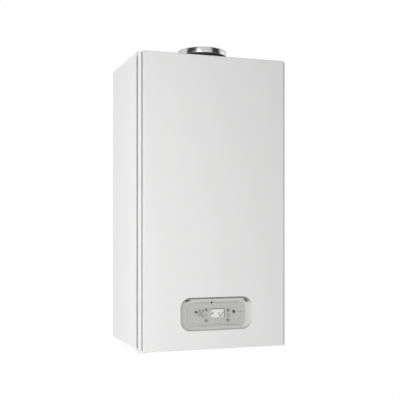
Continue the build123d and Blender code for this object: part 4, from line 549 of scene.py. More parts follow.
for name, (start, end) in FLAG_BEARINGS.items():
    corners = []
    for bearing, height in ((start, FLAG_LOW), (end, FLAG_LOW), (end, FLAG_TOP), (start, FLAG_TOP)):
        across = FLAG_AWAY * math.sin(math.radians(bearing))
        corners.append(place(across, height, FLUE_DEPTH + FLAG_AWAY * math.cos(math.radians(bearing))))
    flag_mesh = bpy.data.meshes.new(name)
    flag_mesh.from_pydata(corners, [], [(0, 1, 2, 3)])
    flag_mesh.materials.append(flag_finish)
    flag = bpy.data.objects.new(name, flag_mesh)
    bpy.context.scene.collection.objects.link(flag)
    for ray in ("camera", "diffuse", "shadow", "transmission", "volume_scatter"):
        setattr(flag, "visible_" + ray, False)
print("flags:", len(FLAG_BEARINGS))

# %% [markdown]
# ## Painted shade lines on the cover's edges
# A fine line of painted shade runs down each upright edge of the cover, where the folded sheet turns into
# the face. It is a thin dark grey strip that follows the round of the edge and hardly stands out from it. A
# dark stripe in the cover's own paint could show the shade too, but the strip leaves the paint alone.

# %% Painted shade lines of the cover's edges
COVER_HALF = 200.0
COVER_ROUND = 8.0
COVER_TALL = 765.0
EDGE_SHADE_FROM, EDGE_SHADE_TO = 24.0, 64.0  # degrees from the front face's normal, round the edge
EDGE_SHADE_PROUD, EDGE_SHADE_SUNK = 0.06, 0.05
EDGE_SHADE_SHORT = 4.0  # how far a strip stops before each end of the cover
EDGE_SHADE_STEPS = 6
# the strip's dark grey is painted shade along the rounded edge
edge_shade_finish = make_finish("crease shade", (0.35, 0.35, 0.35), (0.45, 0.55), (750, 0.004), 0.02)


def edge_shade_strip(side):
    """A strip of painted shade on the rounded edge, on the left for -1 and on the right for 1."""
    work = bmesh.new()
    sections = []
    for i in range(EDGE_SHADE_STEPS + 1):
        angle = math.radians(EDGE_SHADE_FROM + (EDGE_SHADE_TO - EDGE_SHADE_FROM) * i / EDGE_SHADE_STEPS)
        for radius in (COVER_ROUND - EDGE_SHADE_SUNK, COVER_ROUND + EDGE_SHADE_PROUD):
            x = side * (COVER_HALF - COVER_ROUND + radius * math.sin(angle))
            depth = CASING_FRONT - COVER_ROUND + radius * math.cos(angle)
            ends = (EDGE_SHADE_SHORT, COVER_TALL - EDGE_SHADE_SHORT)
            sections.append([work.verts.new(place(x, h, depth)) for h in ends])
    inner, outer = sections[0::2], sections[1::2]
    loop = inner + outer[::-1]
    for a, b in zip(loop, loop[1:] + loop[:1]):
        work.faces.new((a[0], b[0], b[1], a[1]))
    for end in (0, 1):
        for k in range(EDGE_SHADE_STEPS):
            work.faces.new((inner[k][end], inner[k + 1][end], outer[k + 1][end], outer[k][end]))
    return work


for side, label in ((-1, "left"), (1, "right")):
    name = "cover_crease_" + label
    add_piece(mesh_from(edge_shade_strip(side), name, 40), name, "cover", "white_paint", edge_shade_finish)
print("painted edge shade from", EDGE_SHADE_FROM, "to", EDGE_SHADE_TO, "degrees")

# %% [markdown]
# The joint between the cover and the side panel is a dark line, and painted shade widens it: a near-black
# strip lies on each edge of the joint. One strip across the joint would tear when the cover comes off. So
# each side has its own: one moves with the cover and one stays on the casing. A thin box is enough for a
# strip, because only its dark face shows.

# %% Painted shade at the joint of the cover
JOINT_SHADE_WIDE, JOINT_SHADE_FROM, JOINT_SHADE_TO = 2.7, 6.0, 759.0
JOINT_SHADE_PROUD, JOINT_SHADE_SUNK = 0.03, 0.2
JOINT_FRONT, JOINT_BACK = 286.0, 281.0  # edges of the cover and of the side panel
EDGE_ROUND = 0.6


def joint_shade_strip(side, depth):
    """A strip of painted shade that stands upright on one side of the boiler, from one depth forwards."""
    work = bmesh.new()
    bmesh.ops.create_cube(work, size=1)
    for v in work.verts:
        x = COVER_HALF + (JOINT_SHADE_PROUD if v.co.x > 0 else -JOINT_SHADE_SUNK)
        v.co = place(side * x, JOINT_SHADE_TO if v.co.z > 0 else JOINT_SHADE_FROM, depth + (JOINT_SHADE_WIDE if v.co.y > 0 else 0))
    return work


for side, label in ((-1, "left"), (1, "right")):
    for name, body, depth in (("cover_fold_", "cover", JOINT_FRONT + EDGE_ROUND),
                              ("casing_fold_", "chassis", JOINT_BACK - EDGE_ROUND - JOINT_SHADE_WIDE)):
        add_piece(mesh_from(joint_shade_strip(side, depth), name + label), name + label, body, "black_rubber", seal_rubber_and_joint_shade)
print("painted joint shade strips: two on each side")

# %% [markdown]
# ## Markings of the control panel
# The panel's symbols are printed and its hairlines are scratched into the plastic. An image laid on the
# panel could show them, but it would blur from near by. Each is a very thin solid instead, which stays
# sharp. It stands a few hundredths of a millimetre proud of what it is printed on, and moves with that
# part. The symbols are the plain ones that any maker uses: plus, minus, a tap, a radiator, on and off.

# %% Shapes for markings
PANEL_FLOOR = 315.0  # depth of the panel's flat floor
PRINT_PROUD = 0.08
PRINT_SUNK = 0.05


def bar(x0, h0, x1, h1, width):
    """A straight stroke between two points."""
    along = Vector((x1 - x0, h1 - h0))
    side = Vector((-along.y, along.x)).normalized() * width / 2
    return [(x0 + side.x, h0 + side.y), (x1 + side.x, h1 + side.y),
            (x1 - side.x, h1 - side.y), (x0 - side.x, h0 - side.y)]


def on_circle(x, h, radius, angle):
    """A point on a circle, at an angle in radians."""
    return x + radius * math.cos(angle), h + radius * math.sin(angle)


def arc(x, h, radius, width, start=0.0, end=360.0, steps=28):
    """A curved stroke, as a list of short pieces."""
    strokes = []
    inner, outer = radius - width / 2, radius + width / 2
    for i in range(steps):
        a, b = (math.radians(start + (end - start) * (i + k) / steps) for k in (0, 1))
        strokes.append([on_circle(x, h, r, t) for r, t in ((outer, a), (outer, b), (inner, b), (inner, a))])
    return strokes


def disc(x, h, radius, steps=24):
    """A filled round spot."""
    return [on_circle(x, h, radius, math.tau * i / steps) for i in range(steps)]


def box_shape(x, h, width, tall):
    """A filled rectangle about its centre."""
    left, right, low, high = x - width / 2, x + width / 2, h - tall / 2, h + tall / 2
    return [(left, low), (right, low), (right, high), (left, high)]


def printed(name, outlines, depth, body, slot, finish, proud=PRINT_PROUD):
    """Thin solids over a list of outlines in the front view, on a surface at that depth."""
    work = bmesh.new()
    for outline in outlines:
        back = [work.verts.new(place(x, h, depth - PRINT_SUNK)) for x, h in outline]
        face = work.faces.new(back)
        grown = bmesh.ops.extrude_face_region(work, geom=[face])
        fresh = [v for v in grown["geom"] if isinstance(v, bmesh.types.BMVert)]
        bmesh.ops.translate(work, verts=fresh, vec=(0, -(proud + PRINT_SUNK) * MM, 0))
    bmesh.ops.recalc_face_normals(work, faces=work.faces)
    mesh = bpy.data.meshes.new(name)
    work.to_mesh(mesh)
    work.free()
    return add_piece(mesh, name, body, slot, finish)


# the dark print finish serves the real print and also the painted shade in the dish's upper corners
dark_print_and_shade = make_finish("dark print", (0.10, 0.10, 0.10), (0.45, 0.55), (2000, 0.002), 0.1)
grey_print = make_finish("grey print", (0.27, 0.27, 0.265), (0.45, 0.55), (2000, 0.002), 0.1)
soft_print = make_finish("soft grey print", (0.36, 0.36, 0.355), (0.4, 0.5), (2000, 0.002), 0.03)
# one seal in two tones: the dark one is painted shade, the pale one painted light
seal_painted_shade = make_finish("panel seal", (0.235, 0.235, 0.23), (0.5, 0.6), (1500, 0.004), 0.05)
seal_painted_light = make_finish("panel seal in light", (0.50, 0.50, 0.49), (0.5, 0.6), (1500, 0.004), 0.03)
print("print finishes ready")

# %% [markdown]
# A hairline runs along the bottom of the flat floor. It is one straight stroke, so a bar is all it needs.
# The helper for it serves every other mark on the floor, because they are all on one level.

# %% Lower hairline
HAIRLINE = 0.9


def on_panel(name, outlines, finish):
    """Marks printed on the flat floor of the panel."""
    return printed(name, outlines, PANEL_FLOOR, "control_unit", "fascia_grey", finish)


on_panel("lower_hairline", [bar(-46, 61.6, 68, 61.6, HAIRLINE)], grey_print)
print("lower hairline", HAIRLINE, "mm wide")

# %% [markdown]
# The tap belongs to the two buttons on the left, which set the tap water's heat, and the radiator to the
# two on the right, which set the heating. Such a sign is a few millimetres high, so it is put together from
# rectangles and a round drop. The radiator's columns come from a loop, and no two shapes overlap, because
# two faces on one level would flicker.

# %% Tap and radiator
TAP_X, TAP_H = -21.8, 87.0
SPOUT_X = TAP_X - 3.1
tap_body = box_shape(TAP_X, TAP_H, 4.8, 1.5)
tap_stem = box_shape(TAP_X, TAP_H + 1.95, 0.9, 2.4)
tap_handle = box_shape(TAP_X, TAP_H + 3.6, 3.6, 0.9)
tap_spout = box_shape(SPOUT_X, TAP_H - 1.2, 1.4, 3.6)
tap_drop = disc(SPOUT_X, TAP_H - 5.0, 0.8, 14)
on_panel("water_symbol", [tap_body, tap_stem, tap_handle, tap_spout, tap_drop], grey_print)

RADIATOR_X, COLUMN_STEP, COLUMNS = 38.9, 2.2, 5
column_spots = [RADIATOR_X + COLUMN_STEP * (i - COLUMNS // 2) for i in range(COLUMNS)]
radiator = [box_shape(x, h, 1.4, tall)
            for x in column_spots for h, tall in ((86.0, 6.4), (90.4, 0.8), (81.6, 0.8))]
radiator += [box_shape(RADIATOR_X, h, 10.8, 0.8) for h in (89.6, 82.4)]
on_panel("radiator_symbol", radiator, soft_print)
print("radiator columns:", COLUMNS)

# %% [markdown]
# Round the power button runs a broken ring, and the floor of the panel has a few short marks more. The ring
# is five arcs of the same length, each made of short straight pieces.

# %% Power ring and small marks
spots = [disc(44.5, 107.6, 1.1), disc(-31.0, 83.0, 1.9)]
dashes = [bar(64, 95.0, 78, 95.0, HAIRLINE), bar(0.5, 65.6, 20.5, 65.6, HAIRLINE)]
on_panel("small_marks", spots + dashes, grey_print)

POWER_X, POWER_H, POWER_RING_R = -37.7, 94.4, 8.9
DASH_STARTS, DASH_TURN = (20, 100, 150, 215, 285), 42
power_dashes = [piece for start in DASH_STARTS
                for piece in arc(POWER_X, POWER_H, POWER_RING_R, 1.5, start, start + DASH_TURN, 6)]
on_panel("power_ring", power_dashes, dark_print_and_shade)
print("power ring of", len(DASH_STARTS), "dashes")

# %% [markdown]
# ## Pieces that follow the dish
# Some things lie on the curved wall of the dish and not on its flat floor. A shrinkwrap modifier could lay
# them on it. Here their points are dropped onto the engineering model's surface by casting a ray from the
# front, which gives each point at once and leaves nothing live on the piece.

# %% Draping onto the dish
fascia_mesh = parts["fascia"].data
fascia_points = [v.co for v in fascia_mesh.vertices]
dish = BVHTree.FromPolygons(fascia_points, [tuple(p.vertices) for p in fascia_mesh.polygons])
BEFORE_ALL = 400.0  # a depth in front of the whole boiler


def on_dish(x, h, proud):
    """The point of the dish behind x, h in the front view, moved out by proud."""
    found, _, _, _ = dish.ray_cast(place(x, h, BEFORE_ALL), Vector((0, 1, 0)))
    return found + Vector((0, -proud * MM, 0))


def draped(name, inner, outer, finish, proud=0.12, sunk=0.3, rows=3):
    """A thin solid over the dish between two lines of points that run side by side."""
    work = bmesh.new()
    grid = []
    for (xi, hi), (xo, ho) in zip(inner, outer):
        across = [(xi + (xo - xi) * k / rows, hi + (ho - hi) * k / rows) for k in range(rows + 1)]
        grid.append([work.verts.new(on_dish(x, h, proud)) for x, h in across]
                    + [work.verts.new(on_dish(x, h, -sunk)) for x, h in reversed(across)])
    size = len(grid[0])
    for a, b in zip(grid, grid[1:]):
        for k in range(size):
            work.faces.new((a[k], a[(k + 1) % size], b[(k + 1) % size], b[k]))
    work.faces.new(grid[0])
    work.faces.new(grid[-1])
    return add_piece(mesh_from(work, name, 40), name, "control_unit", "fascia_grey", finish)


print("dish faces:", len(fascia_mesh.polygons))

# %% [markdown]
# ## The lip of the seal
# The panel's seal shows as a lip all round the window. Above, under the edge of the cover, it is wide, which
# paints the shade that the edge casts there. Its dark grey above and on the left is painted shade, and its
# pale grey below and on the right, where it lies open to the light, is painted light. It is therefore two
# pieces with a finish each, whose ends taper into one another.

# %% Lip of the seal
WINDOW_X, WINDOW_H, WINDOW_WIDE, WINDOW_TALL, WINDOW_R = 3.4, 92.2, 198.4, 86.4, 27.0
# the wider lip above paints the shade under the cover's edge
LIP_TOP, LIP_SIDE = 4.6, 1.5  # width of the seal's lip above, and at the sides and below
LIP_TAPER = 30.0  # degrees over which an end of the lip gets narrow
LIP_INSET = 0.1
CORNER_STEPS = 10


def window_corner(cx, cy):
    """Centre of a rounded corner of the window: 1 is right or up, -1 is left or down."""
    across, up = WINDOW_WIDE / 2 - WINDOW_R, WINDOW_TALL / 2 - WINDOW_R
    return Vector((WINDOW_X + cx * across, WINDOW_H + cy * up))


def seal_lip(name, start, end, finish):
    """The lip between two directions round the window, in degrees from its right side. Its ends taper."""
    inner, outer = [], []
    for corner in range(8):  # twice round, because a lip may pass the direction that it is counted from
        cx, cy = ((1, 1), (-1, 1), (-1, -1), (1, -1))[corner % 4]
        for i in range(CORNER_STEPS + 1):
            turn = 90 * corner + 90 * i / CORNER_STEPS
            if start <= turn <= end:
                away = Vector((math.cos(math.radians(turn)), math.sin(math.radians(turn))))
                width = LIP_SIDE + (LIP_TOP - LIP_SIDE) * max(0.0, away.y)
                width *= min(1.0, max(0.2, (turn - start) / LIP_TAPER), max(0.2, (end - turn) / LIP_TAPER))
                centre = window_corner(cx, cy)
                outer.append(tuple(centre + away * (WINDOW_R - LIP_INSET)))
                inner.append(tuple(centre + away * (WINDOW_R - LIP_INSET - width)))
    draped(name, inner, outer, finish)


seal_lip("panel_seal_upper", 18, 234, seal_painted_shade)
seal_lip("panel_seal_lower", 234, 378, seal_painted_light)
print("seal lip from", LIP_SIDE, "to", LIP_TOP, "mm wide")

# %% [markdown]
# ## Corner shade and upper hairline
# Two short dark crescents of painted shade follow the round upper corners of the dish, and the upper hairline
# runs between them in two halves. A crescent is a band along an arc, which an ellipse narrows to blunt
# points, and a half of the hairline is a straight band.

# %% Painted shade in the upper corners of the dish
CORNER_SHADE_IN, CORNER_SHADE_WIDE = 7.0, 5.2
CORNER_SHADE_STEPS = 12
# the crescents of painted shade are kept from ending in sharp points
CORNER_SHADE_BLUNT = 0.03  # keeps the points of a slot from being sharp
for label, side, start, end in (("left", -1, 84, 130), ("right", 1, 31, 76)):
    centre = window_corner(side, 1)
    inner, outer = [], []
    for i in range(CORNER_SHADE_STEPS + 1):
        angle = math.radians(start + (end - start) * i / CORNER_SHADE_STEPS)
        half = CORNER_SHADE_WIDE / 2 * math.sqrt(max(CORNER_SHADE_BLUNT, 1 - (2 * i / CORNER_SHADE_STEPS - 1) ** 2))
        inner.append(on_circle(*centre, WINDOW_R - CORNER_SHADE_IN - half, angle))
        outer.append(on_circle(*centre, WINDOW_R - CORNER_SHADE_IN + half, angle))
    draped("corner_slot_" + label, inner, outer, dark_print_and_shade)
print("corner shade", CORNER_SHADE_WIDE, "mm wide")

# %% Upper hairline
UPPER_LINE_H, UPPER_LINE_HALF = 121.0, 0.55
UPPER_LINE_STEPS = 20
for label, x0, x1 in (("left", -54.0, -13.5), ("right", -1.5, 69.0)):
    across = [x0 + (x1 - x0) * i / UPPER_LINE_STEPS for i in range(UPPER_LINE_STEPS + 1)]
    lower = [(x, UPPER_LINE_H - UPPER_LINE_HALF) for x in across]
    upper = [(x, UPPER_LINE_H + UPPER_LINE_HALF) for x in across]
    draped("upper_hairline_" + label, lower, upper, grey_print, proud=0.1)
print("upper hairline at height", UPPER_LINE_H)

# %% [markdown]
# ## The status light
# The small dark spot in the upper hairline is the lens of an unlit status light. It lies on the slope,
# which would half bury a plain dome. So rings of points are dropped onto the dish first, and are then
# raised into a low dome.

# %% Status light
LENS_X, LENS_H, LENS_R, LENS_RISE = -7.5, 120.9, 3.1, 0.9
LENS_SUNK = 0.3
LENS_STEPS, LENS_RINGS = 28, 6
turns = [math.tau * i / LENS_STEPS for i in range(LENS_STEPS)]
work = bmesh.new()
rings = []
for k in range(LENS_RINGS):
    angle = math.radians(90 * k / LENS_RINGS)
    radius, out = LENS_R * math.cos(angle), LENS_RISE * math.sin(angle)
    points = [on_circle(LENS_X, LENS_H, radius, t) for t in turns]
    rings.append([work.verts.new(on_dish(x, h, out - LENS_SUNK)) for x, h in points])
for a, b in zip(rings, rings[1:]):
    for i in range(LENS_STEPS):
        work.faces.new((a[i], a[(i + 1) % LENS_STEPS], b[(i + 1) % LENS_STEPS], b[i]))
work.faces.new(rings[0])
work.faces.new(rings[-1])
lens_finish = make_finish("dark lens", (0.03, 0.03, 0.028), (0.08, 0.14), (1500, 0.001), 0.05)
add_piece(mesh_from(work, "status_light", 50), "status_light", "control_unit", "fascia_grey", lens_finish)
print("status light radius", LENS_R, "mm")

# %% [markdown]
# ## Marks on the buttons
# A button carries its sign on its cap, and the sign has to travel with the button when it is pressed. Each
# sign is therefore a piece of its own that rides on its own button's body, and not a part of the panel's
# print.

# %% Button signs
CAP_DEPTH = 316.6
STEP_BUTTONS = {"water_plus": (-22.6, 101.7), "water_minus": (-22.6, 74.1),
                "heating_plus": (38.0, 99.5), "heating_minus": (38.0, 73.0)}
SIGN_ARM = 2.4
SIGN_WIDTH = 0.8


def on_button(name, strokes, finish):
    """A sign on a button's cap, which moves with that button."""
    return printed(name + "_sign", strokes, CAP_DEPTH, name + "_key", "fascia_grey", finish)


for key, (x, h) in STEP_BUTTONS.items():
    strokes = [bar(x - SIGN_ARM, h, x + SIGN_ARM, h, SIGN_WIDTH)]
    if key.endswith("plus"):
        strokes += [bar(x, h + side * SIGN_WIDTH / 2, x, h + side * SIGN_ARM, SIGN_WIDTH) for side in (1, -1)]
    on_button(key, strokes, dark_print_and_shade)

POWER_SIGN_R = 3.3
power_strokes = arc(POWER_X, POWER_H, POWER_SIGN_R, SIGN_WIDTH, 120, 420, 20)
power_strokes += [bar(POWER_X, POWER_H + 0.6, POWER_X, POWER_H + 4.2, SIGN_WIDTH)]
on_button("power", power_strokes, dark_print_and_shade)

INFO_X, INFO_FOOT = -51.5, 95.3
info_dot = disc(INFO_X, INFO_FOOT + 3.1, 0.45, 12)
info_stem = bar(INFO_X, INFO_FOOT, INFO_X, INFO_FOOT + 2.3, SIGN_WIDTH)
on_button("info", [info_dot, info_stem], grey_print)

RESET_X, RESET_H = 54.2, 95.2
arrow_head = [(RESET_X + across, RESET_H + up) for across, up in ((0.9, 1.2), (1.8, 2.8), (2.7, 0.8))]
on_button("reset", arc(RESET_X, RESET_H, 2.0, 0.6, 60, 360, 18) + [arrow_head], grey_print)
print("signs on", len(STEP_BUTTONS) + 3, "buttons")

# %% [markdown]
# ## The display
# The display is a small pale rectangle with two figures of seven segments each. They could be text, but
# that would need a font with such figures, and every figure is only a choice among the same seven strokes.

# %% Figures of the display
LCD_X, LCD_H = 8.4, 90.8
LCD_WIDE, LCD_TALL = 41.0, 27.7
LCD_FACE = 314.6
SEGMENT = 1.5
SEGMENTS_OF = {"5": "afgcd", "2": "abged"}


def figure(sign, x, h, wide, tall):
    """A seven-segment figure centred at x, h."""
    left, right, low, high = x - wide / 2, x + wide / 2, h - tall / 2, h + tall / 2
    gap = SEGMENT * 0.55
    strokes = {
        "a": (left + gap, high, right - gap, high), "d": (left + gap, low, right - gap, low),
        "g": (left + gap, h, right - gap, h),
        "b": (right, h + gap, right, high - gap), "c": (right, low + gap, right, h - gap),
        "e": (left, low + gap, left, h - gap), "f": (left, h + gap, left, high - gap),
    }
    return [bar(*strokes[s], SEGMENT) for s in SEGMENTS_OF[sign]]


def on_display(name, outlines, finish, proud):
    """Marks on the display's clear window."""
    return printed(name, outlines, LCD_FACE, "control_unit", "fascia_grey", finish, proud)


FIGURE_WIDE, FIGURE_TALL, FIGURE_H = 4.8, 10.6, 88.4
FIGURE_PROUD = 0.04
figures = []
for sign, x in (("5", 14.2), ("2", 21.4)):
    figures += figure(sign, x, FIGURE_H, FIGURE_WIDE, FIGURE_TALL)
figures += arc(25.4, 94.4, 0.7, 0.5, 0, 360, 12)  # the small ring of the degree sign
SMALL_TAP_X, SMALL_TAP_H = -4.6, 92.6
small_body = box_shape(SMALL_TAP_X, SMALL_TAP_H, 6.0, 1.8)
small_stem = box_shape(SMALL_TAP_X, SMALL_TAP_H + 2.1, 1.1, 2.4)
small_spout = box_shape(SMALL_TAP_X - 2.3, SMALL_TAP_H - 2.3, 1.4, 2.8)
on_display("display_figures", figures + [small_body, small_stem, small_spout], dark_print_and_shade, FIGURE_PROUD)
print("display figures:", len(figures), "strokes")

# %% [markdown]
# A mask is printed round the display, dark above and on the right, and pale on the left and below. Its four
# strips meet edge to edge, so that none lies on another.

# %% Mask of the display
lcd_left, lcd_right = LCD_X - LCD_WIDE / 2, LCD_X + LCD_WIDE / 2
lcd_low, lcd_top = LCD_H - LCD_TALL / 2, LCD_H + LCD_TALL / 2
MASK_LEFT, MASK_LOW, MASK_EDGE = 4.0, 4.6, 2.2
DARK_PROUD, PALE_PROUD = 0.12, 0.10
side_low, side_high = lcd_low + MASK_LOW, lcd_top - MASK_EDGE
side_h, side_tall = (side_low + side_high) / 2, side_high - side_low
dark_edges = [box_shape(LCD_X, lcd_top - MASK_EDGE / 2, LCD_WIDE, MASK_EDGE),
              box_shape(lcd_right - MASK_EDGE / 2, side_h, MASK_EDGE, side_tall)]
pale_edges = [box_shape(lcd_left + MASK_LEFT / 2, side_h, MASK_LEFT, side_tall),
              box_shape(LCD_X, lcd_low + MASK_LOW / 2, LCD_WIDE, MASK_LOW)]
on_display("display_mask_dark", dark_edges, grey_print, DARK_PROUD)
on_display("display_mask_pale", pale_edges, FINISHES["fascia_grey"], PALE_PROUD)
print("open part of the display:", round(side_tall, 1), "mm tall")

# %% [markdown]
# ## Repeats by rule
# Screws, cooling ribs and cable ties are each one small shape copied by a rule, which is what Geometry
# Nodes do best. Each tree is built here with named inputs for its sizes. It runs on a few points, and the
# result is kept as a plain mesh, so nothing live is left on the piece.


# %% Tools for node trees
def start_tree(name, inputs):
    """A node group whose inputs are (label, kind, value), with its input and output nodes."""
    tree = bpy.data.node_groups.new(name, "GeometryNodeTree")
    tree.interface.new_socket("Points", in_out="INPUT", socket_type="NodeSocketGeometry")
    for label, kind, value in inputs:
        socket = tree.interface.new_socket(label, in_out="INPUT", socket_type="NodeSocket" + kind)
        if value is not None:
            socket.default_value = value
    tree.interface.new_socket("Result", in_out="OUTPUT", socket_type="NodeSocketGeometry")
    return tree, tree.nodes.new("NodeGroupInput").outputs, tree.nodes.new("NodeGroupOutput").inputs["Result"]


def step(tree, kind, feeds=None, **options):
    """Adds a node, sets its options and feeds its inputs with values or with other nodes' outputs."""
    node = tree.nodes.new(kind)
    for label, value in options.items():
        setattr(node, label, value)
    for label, value in (feeds or {}).items():
        if isinstance(value, bpy.types.NodeSocket):
            tree.links.new(value, node.inputs[label])
        else:
            node.inputs[label].default_value = value
    return node


def share_of(tree, value, factor):
    """A size multiplied by a factor."""
    return step(tree, "ShaderNodeMath", {0: value, 1: factor}, operation="MULTIPLY").outputs[0]


def end_tree(tree, geometry, finish, result):
    """Every tree ends by making its copies real and giving them their material."""
    real = step(tree, "GeometryNodeRealizeInstances", {"Geometry": geometry})
    dressed = step(tree, "GeometryNodeSetMaterial", {"Geometry": real.outputs[0], "Material": finish})
    tree.links.new(dressed.outputs[0], result)


def grow(tree, points, name, body, slot, finish, sizes, edges=()):
    """Runs a tree on some points and keeps the result as a plain piece."""
    seeds = bpy.data.meshes.new(name + "_points")
    seeds.from_pydata(points, list(edges), [])
    carrier = bpy.data.objects.new(name + "_points", seeds)
    bpy.context.scene.collection.objects.link(carrier)
    modifier = carrier.modifiers.new("grow", "NODES")
    modifier.node_group = tree
    identifiers = {item.name: item.identifier for item in tree.interface.items_tree if item.in_out == "INPUT"}
    for label, value in dict(sizes, Finish=finish).items():
        modifier[identifiers[label]] = value
    graph = bpy.context.evaluated_depsgraph_get()
    mesh = bpy.data.meshes.new_from_object(carrier.evaluated_get(graph))
    bpy.data.objects.remove(carrier)
    mesh.name = name
    return add_piece(mesh, name, body, slot, finish)


print("tree tools ready")

# %% [markdown]
# A pan-head screw is a low cone with a cross cut into its top. The cut is a boolean with two crossed bars.
# Every copy is turned about its own axis by a random angle with a fixed seed, because real screws never
# line up.

# %% The screw tree
screw_tree, sizes_in, result = start_tree("screws", [
    ("Head Radius", "Float", 0.0035), ("Head Height", "Float", 0.0016), ("Facing", "Vector", (0, 0, 0)),
    ("Seed", "Int", 1), ("Finish", "Material", None)])
head_r, head_h = sizes_in["Head Radius"], sizes_in["Head Height"]
cone = step(screw_tree, "GeometryNodeMeshCone", {
    "Vertices": 28, "Radius Top": share_of(screw_tree, head_r, 0.7), "Radius Bottom": head_r,
    "Depth": head_h})
bar_size = step(screw_tree, "ShaderNodeCombineXYZ", {
    "X": share_of(screw_tree, head_r, 0.24), "Y": share_of(screw_tree, head_r, 1.05), "Z": head_h})
bar_up = step(screw_tree, "ShaderNodeCombineXYZ", {"Z": share_of(screw_tree, head_h, 0.95)})
cross_bar = step(screw_tree, "GeometryNodeMeshCube", {"Size": bar_size.outputs[0]})
bars = [step(screw_tree, "GeometryNodeTransform", {
    "Geometry": cross_bar.outputs[0], "Translation": bar_up.outputs[0],
    "Rotation": (0, 0, math.radians(turn))}) for turn in (0, 90)]
cut = step(screw_tree, "GeometryNodeMeshBoolean", {
    "Mesh 1": cone.outputs[0]}, operation="DIFFERENCE", solver="EXACT")
for cut_bar in bars:
    screw_tree.links.new(cut_bar.outputs[0], cut.inputs["Mesh 2"])
chance = step(screw_tree, "FunctionNodeRandomValue", {
    2: 0.0, 3: math.tau, "Seed": sizes_in["Seed"]}, data_type="FLOAT")
own_turn = step(screw_tree, "ShaderNodeCombineXYZ", {"Z": chance.outputs[1]})
turned_head = step(screw_tree, "FunctionNodeRotateRotation", {
    "Rotation": sizes_in["Facing"], "Rotate By": own_turn.outputs[0]}, rotation_space="LOCAL")
screws = step(screw_tree, "GeometryNodeInstanceOnPoints", {
    "Points": sizes_in["Points"], "Instance": cut.outputs[0], "Rotation": turned_head.outputs[0]})
end_tree(screw_tree, screws.outputs[0], sizes_in["Finish"], result)
print("screw tree:", len(screw_tree.nodes), "nodes")

# %% [markdown]
# The screws go where a fitter finds them: on the fan's cover plate, on the gas valve, on the lid of the
# control unit, and where the top and bottom panels are fixed to the sides. Each set of four is one run of
# the tree, because all of its heads face one way.

# %% Screws
FACING_UP, FACING_DOWN = (0, 0, 0), (math.pi, 0, 0)
FACING_ROOM, FACING_WALL = (math.radians(90), 0, 0), (math.radians(-90), 0, 0)
fan_low, fan_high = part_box("fan_motor")
fan_x = (fan_low.x + fan_high.x) / 2 / MM
housing_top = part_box("fan_housing")[1].z
FAN_DEPTH = 215.0
FAN_SCREW_CIRCLE = 50.0
fan_spots = []
for turn in (45, 135, 225, 315):
    x, depth = on_circle(fan_x, FAN_DEPTH, FAN_SCREW_CIRCLE, math.radians(turn))
    spot = place(x, 0, depth)
    spot.z = housing_top
    fan_spots.append(spot)


def four_spots(middle_x, half, heights, depths):
    """Where the four screws of a piece sit, in two upright or level rows."""
    return [place(middle_x + side * half, h, depth) for side in (-1, 1) for h in heights for depth in depths]


VALVE_FACE, LID_FACE = 258.0, 250.0
PANEL_SCREW_X = 186.0
valve_spots = four_spots(fan_x, 26, (282, 353), (VALVE_FACE,))
lid_spots = four_spots(0, 130, (45, 153), (LID_FACE,))
top_spots = four_spots(0, PANEL_SCREW_X, (CASING_TALL,), (110, 250))
bottom_spots = four_spots(0, PANEL_SCREW_X, (0,), (60, 240))

HEAD_SHARE = 0.42  # a head's height over its radius
SCREWS = {
    "fan_screws": (fan_spots, "chassis", FACING_UP, 0.0042),
    "gas_valve_screws": (valve_spots, "chassis", FACING_ROOM, 0.0030),
    "control_lid_screws": (lid_spots, "control_unit", FACING_WALL, 0.0035),
    "top_panel_screws": (top_spots, "chassis", FACING_UP, 0.0040),
    "bottom_panel_screws": (bottom_spots, "chassis", FACING_DOWN, 0.0040),
}
for seed, (name, (spots, body, facing, radius)) in enumerate(SCREWS.items()):
    heads = grow(screw_tree, spots, name, body, "galvanised", FINISHES["galvanised"],
                 {"Head Radius": radius, "Head Height": radius * HEAD_SHARE, "Facing": facing, "Seed": seed})
    print(name, len(heads.data.polygons), "faces")

# %% [markdown]
# ## Cooling ribs of the pump
# The pump's motor gives off its heat through straight ribs round its shell. They could be cut from the
# shell by hand. One thin block, copied round a circle and turned so that it always points outwards, makes
# them with two numbers: how many, and how far out.

# %% The rib tree
rib_tree, sizes_in, result = start_tree("ribs round a motor", [
    ("Count", "Int", 24), ("Radius", "Float", 0.042), ("Rib Height", "Float", 0.003),
    ("Rib Thickness", "Float", 0.0016), ("Rib Length", "Float", 0.07), ("Centre", "Vector", (0, 0, 0)),
    ("Finish", "Material", None)])
ring_points = step(rib_tree, "GeometryNodeMeshCircle", {
    "Vertices": sizes_in["Count"], "Radius": sizes_in["Radius"]})
rib_size = step(rib_tree, "ShaderNodeCombineXYZ", {
    "X": sizes_in["Rib Height"], "Y": sizes_in["Rib Thickness"], "Z": sizes_in["Rib Length"]})
rib = step(rib_tree, "GeometryNodeMeshCube", {"Size": rib_size.outputs[0]})
outwards = step(rib_tree, "FunctionNodeAlignRotationToVector", {
    "Vector": step(rib_tree, "GeometryNodeInputPosition").outputs[0]}, axis="X")
ribs = step(rib_tree, "GeometryNodeInstanceOnPoints", {
    "Points": ring_points.outputs[0], "Instance": rib.outputs[0], "Rotation": outwards.outputs[0]})
laid = step(rib_tree, "GeometryNodeTransform", {
    "Geometry": ribs.outputs[0], "Translation": sizes_in["Centre"], "Rotation": (math.radians(90), 0, 0)})
end_tree(rib_tree, laid.outputs[0], sizes_in["Finish"], result)

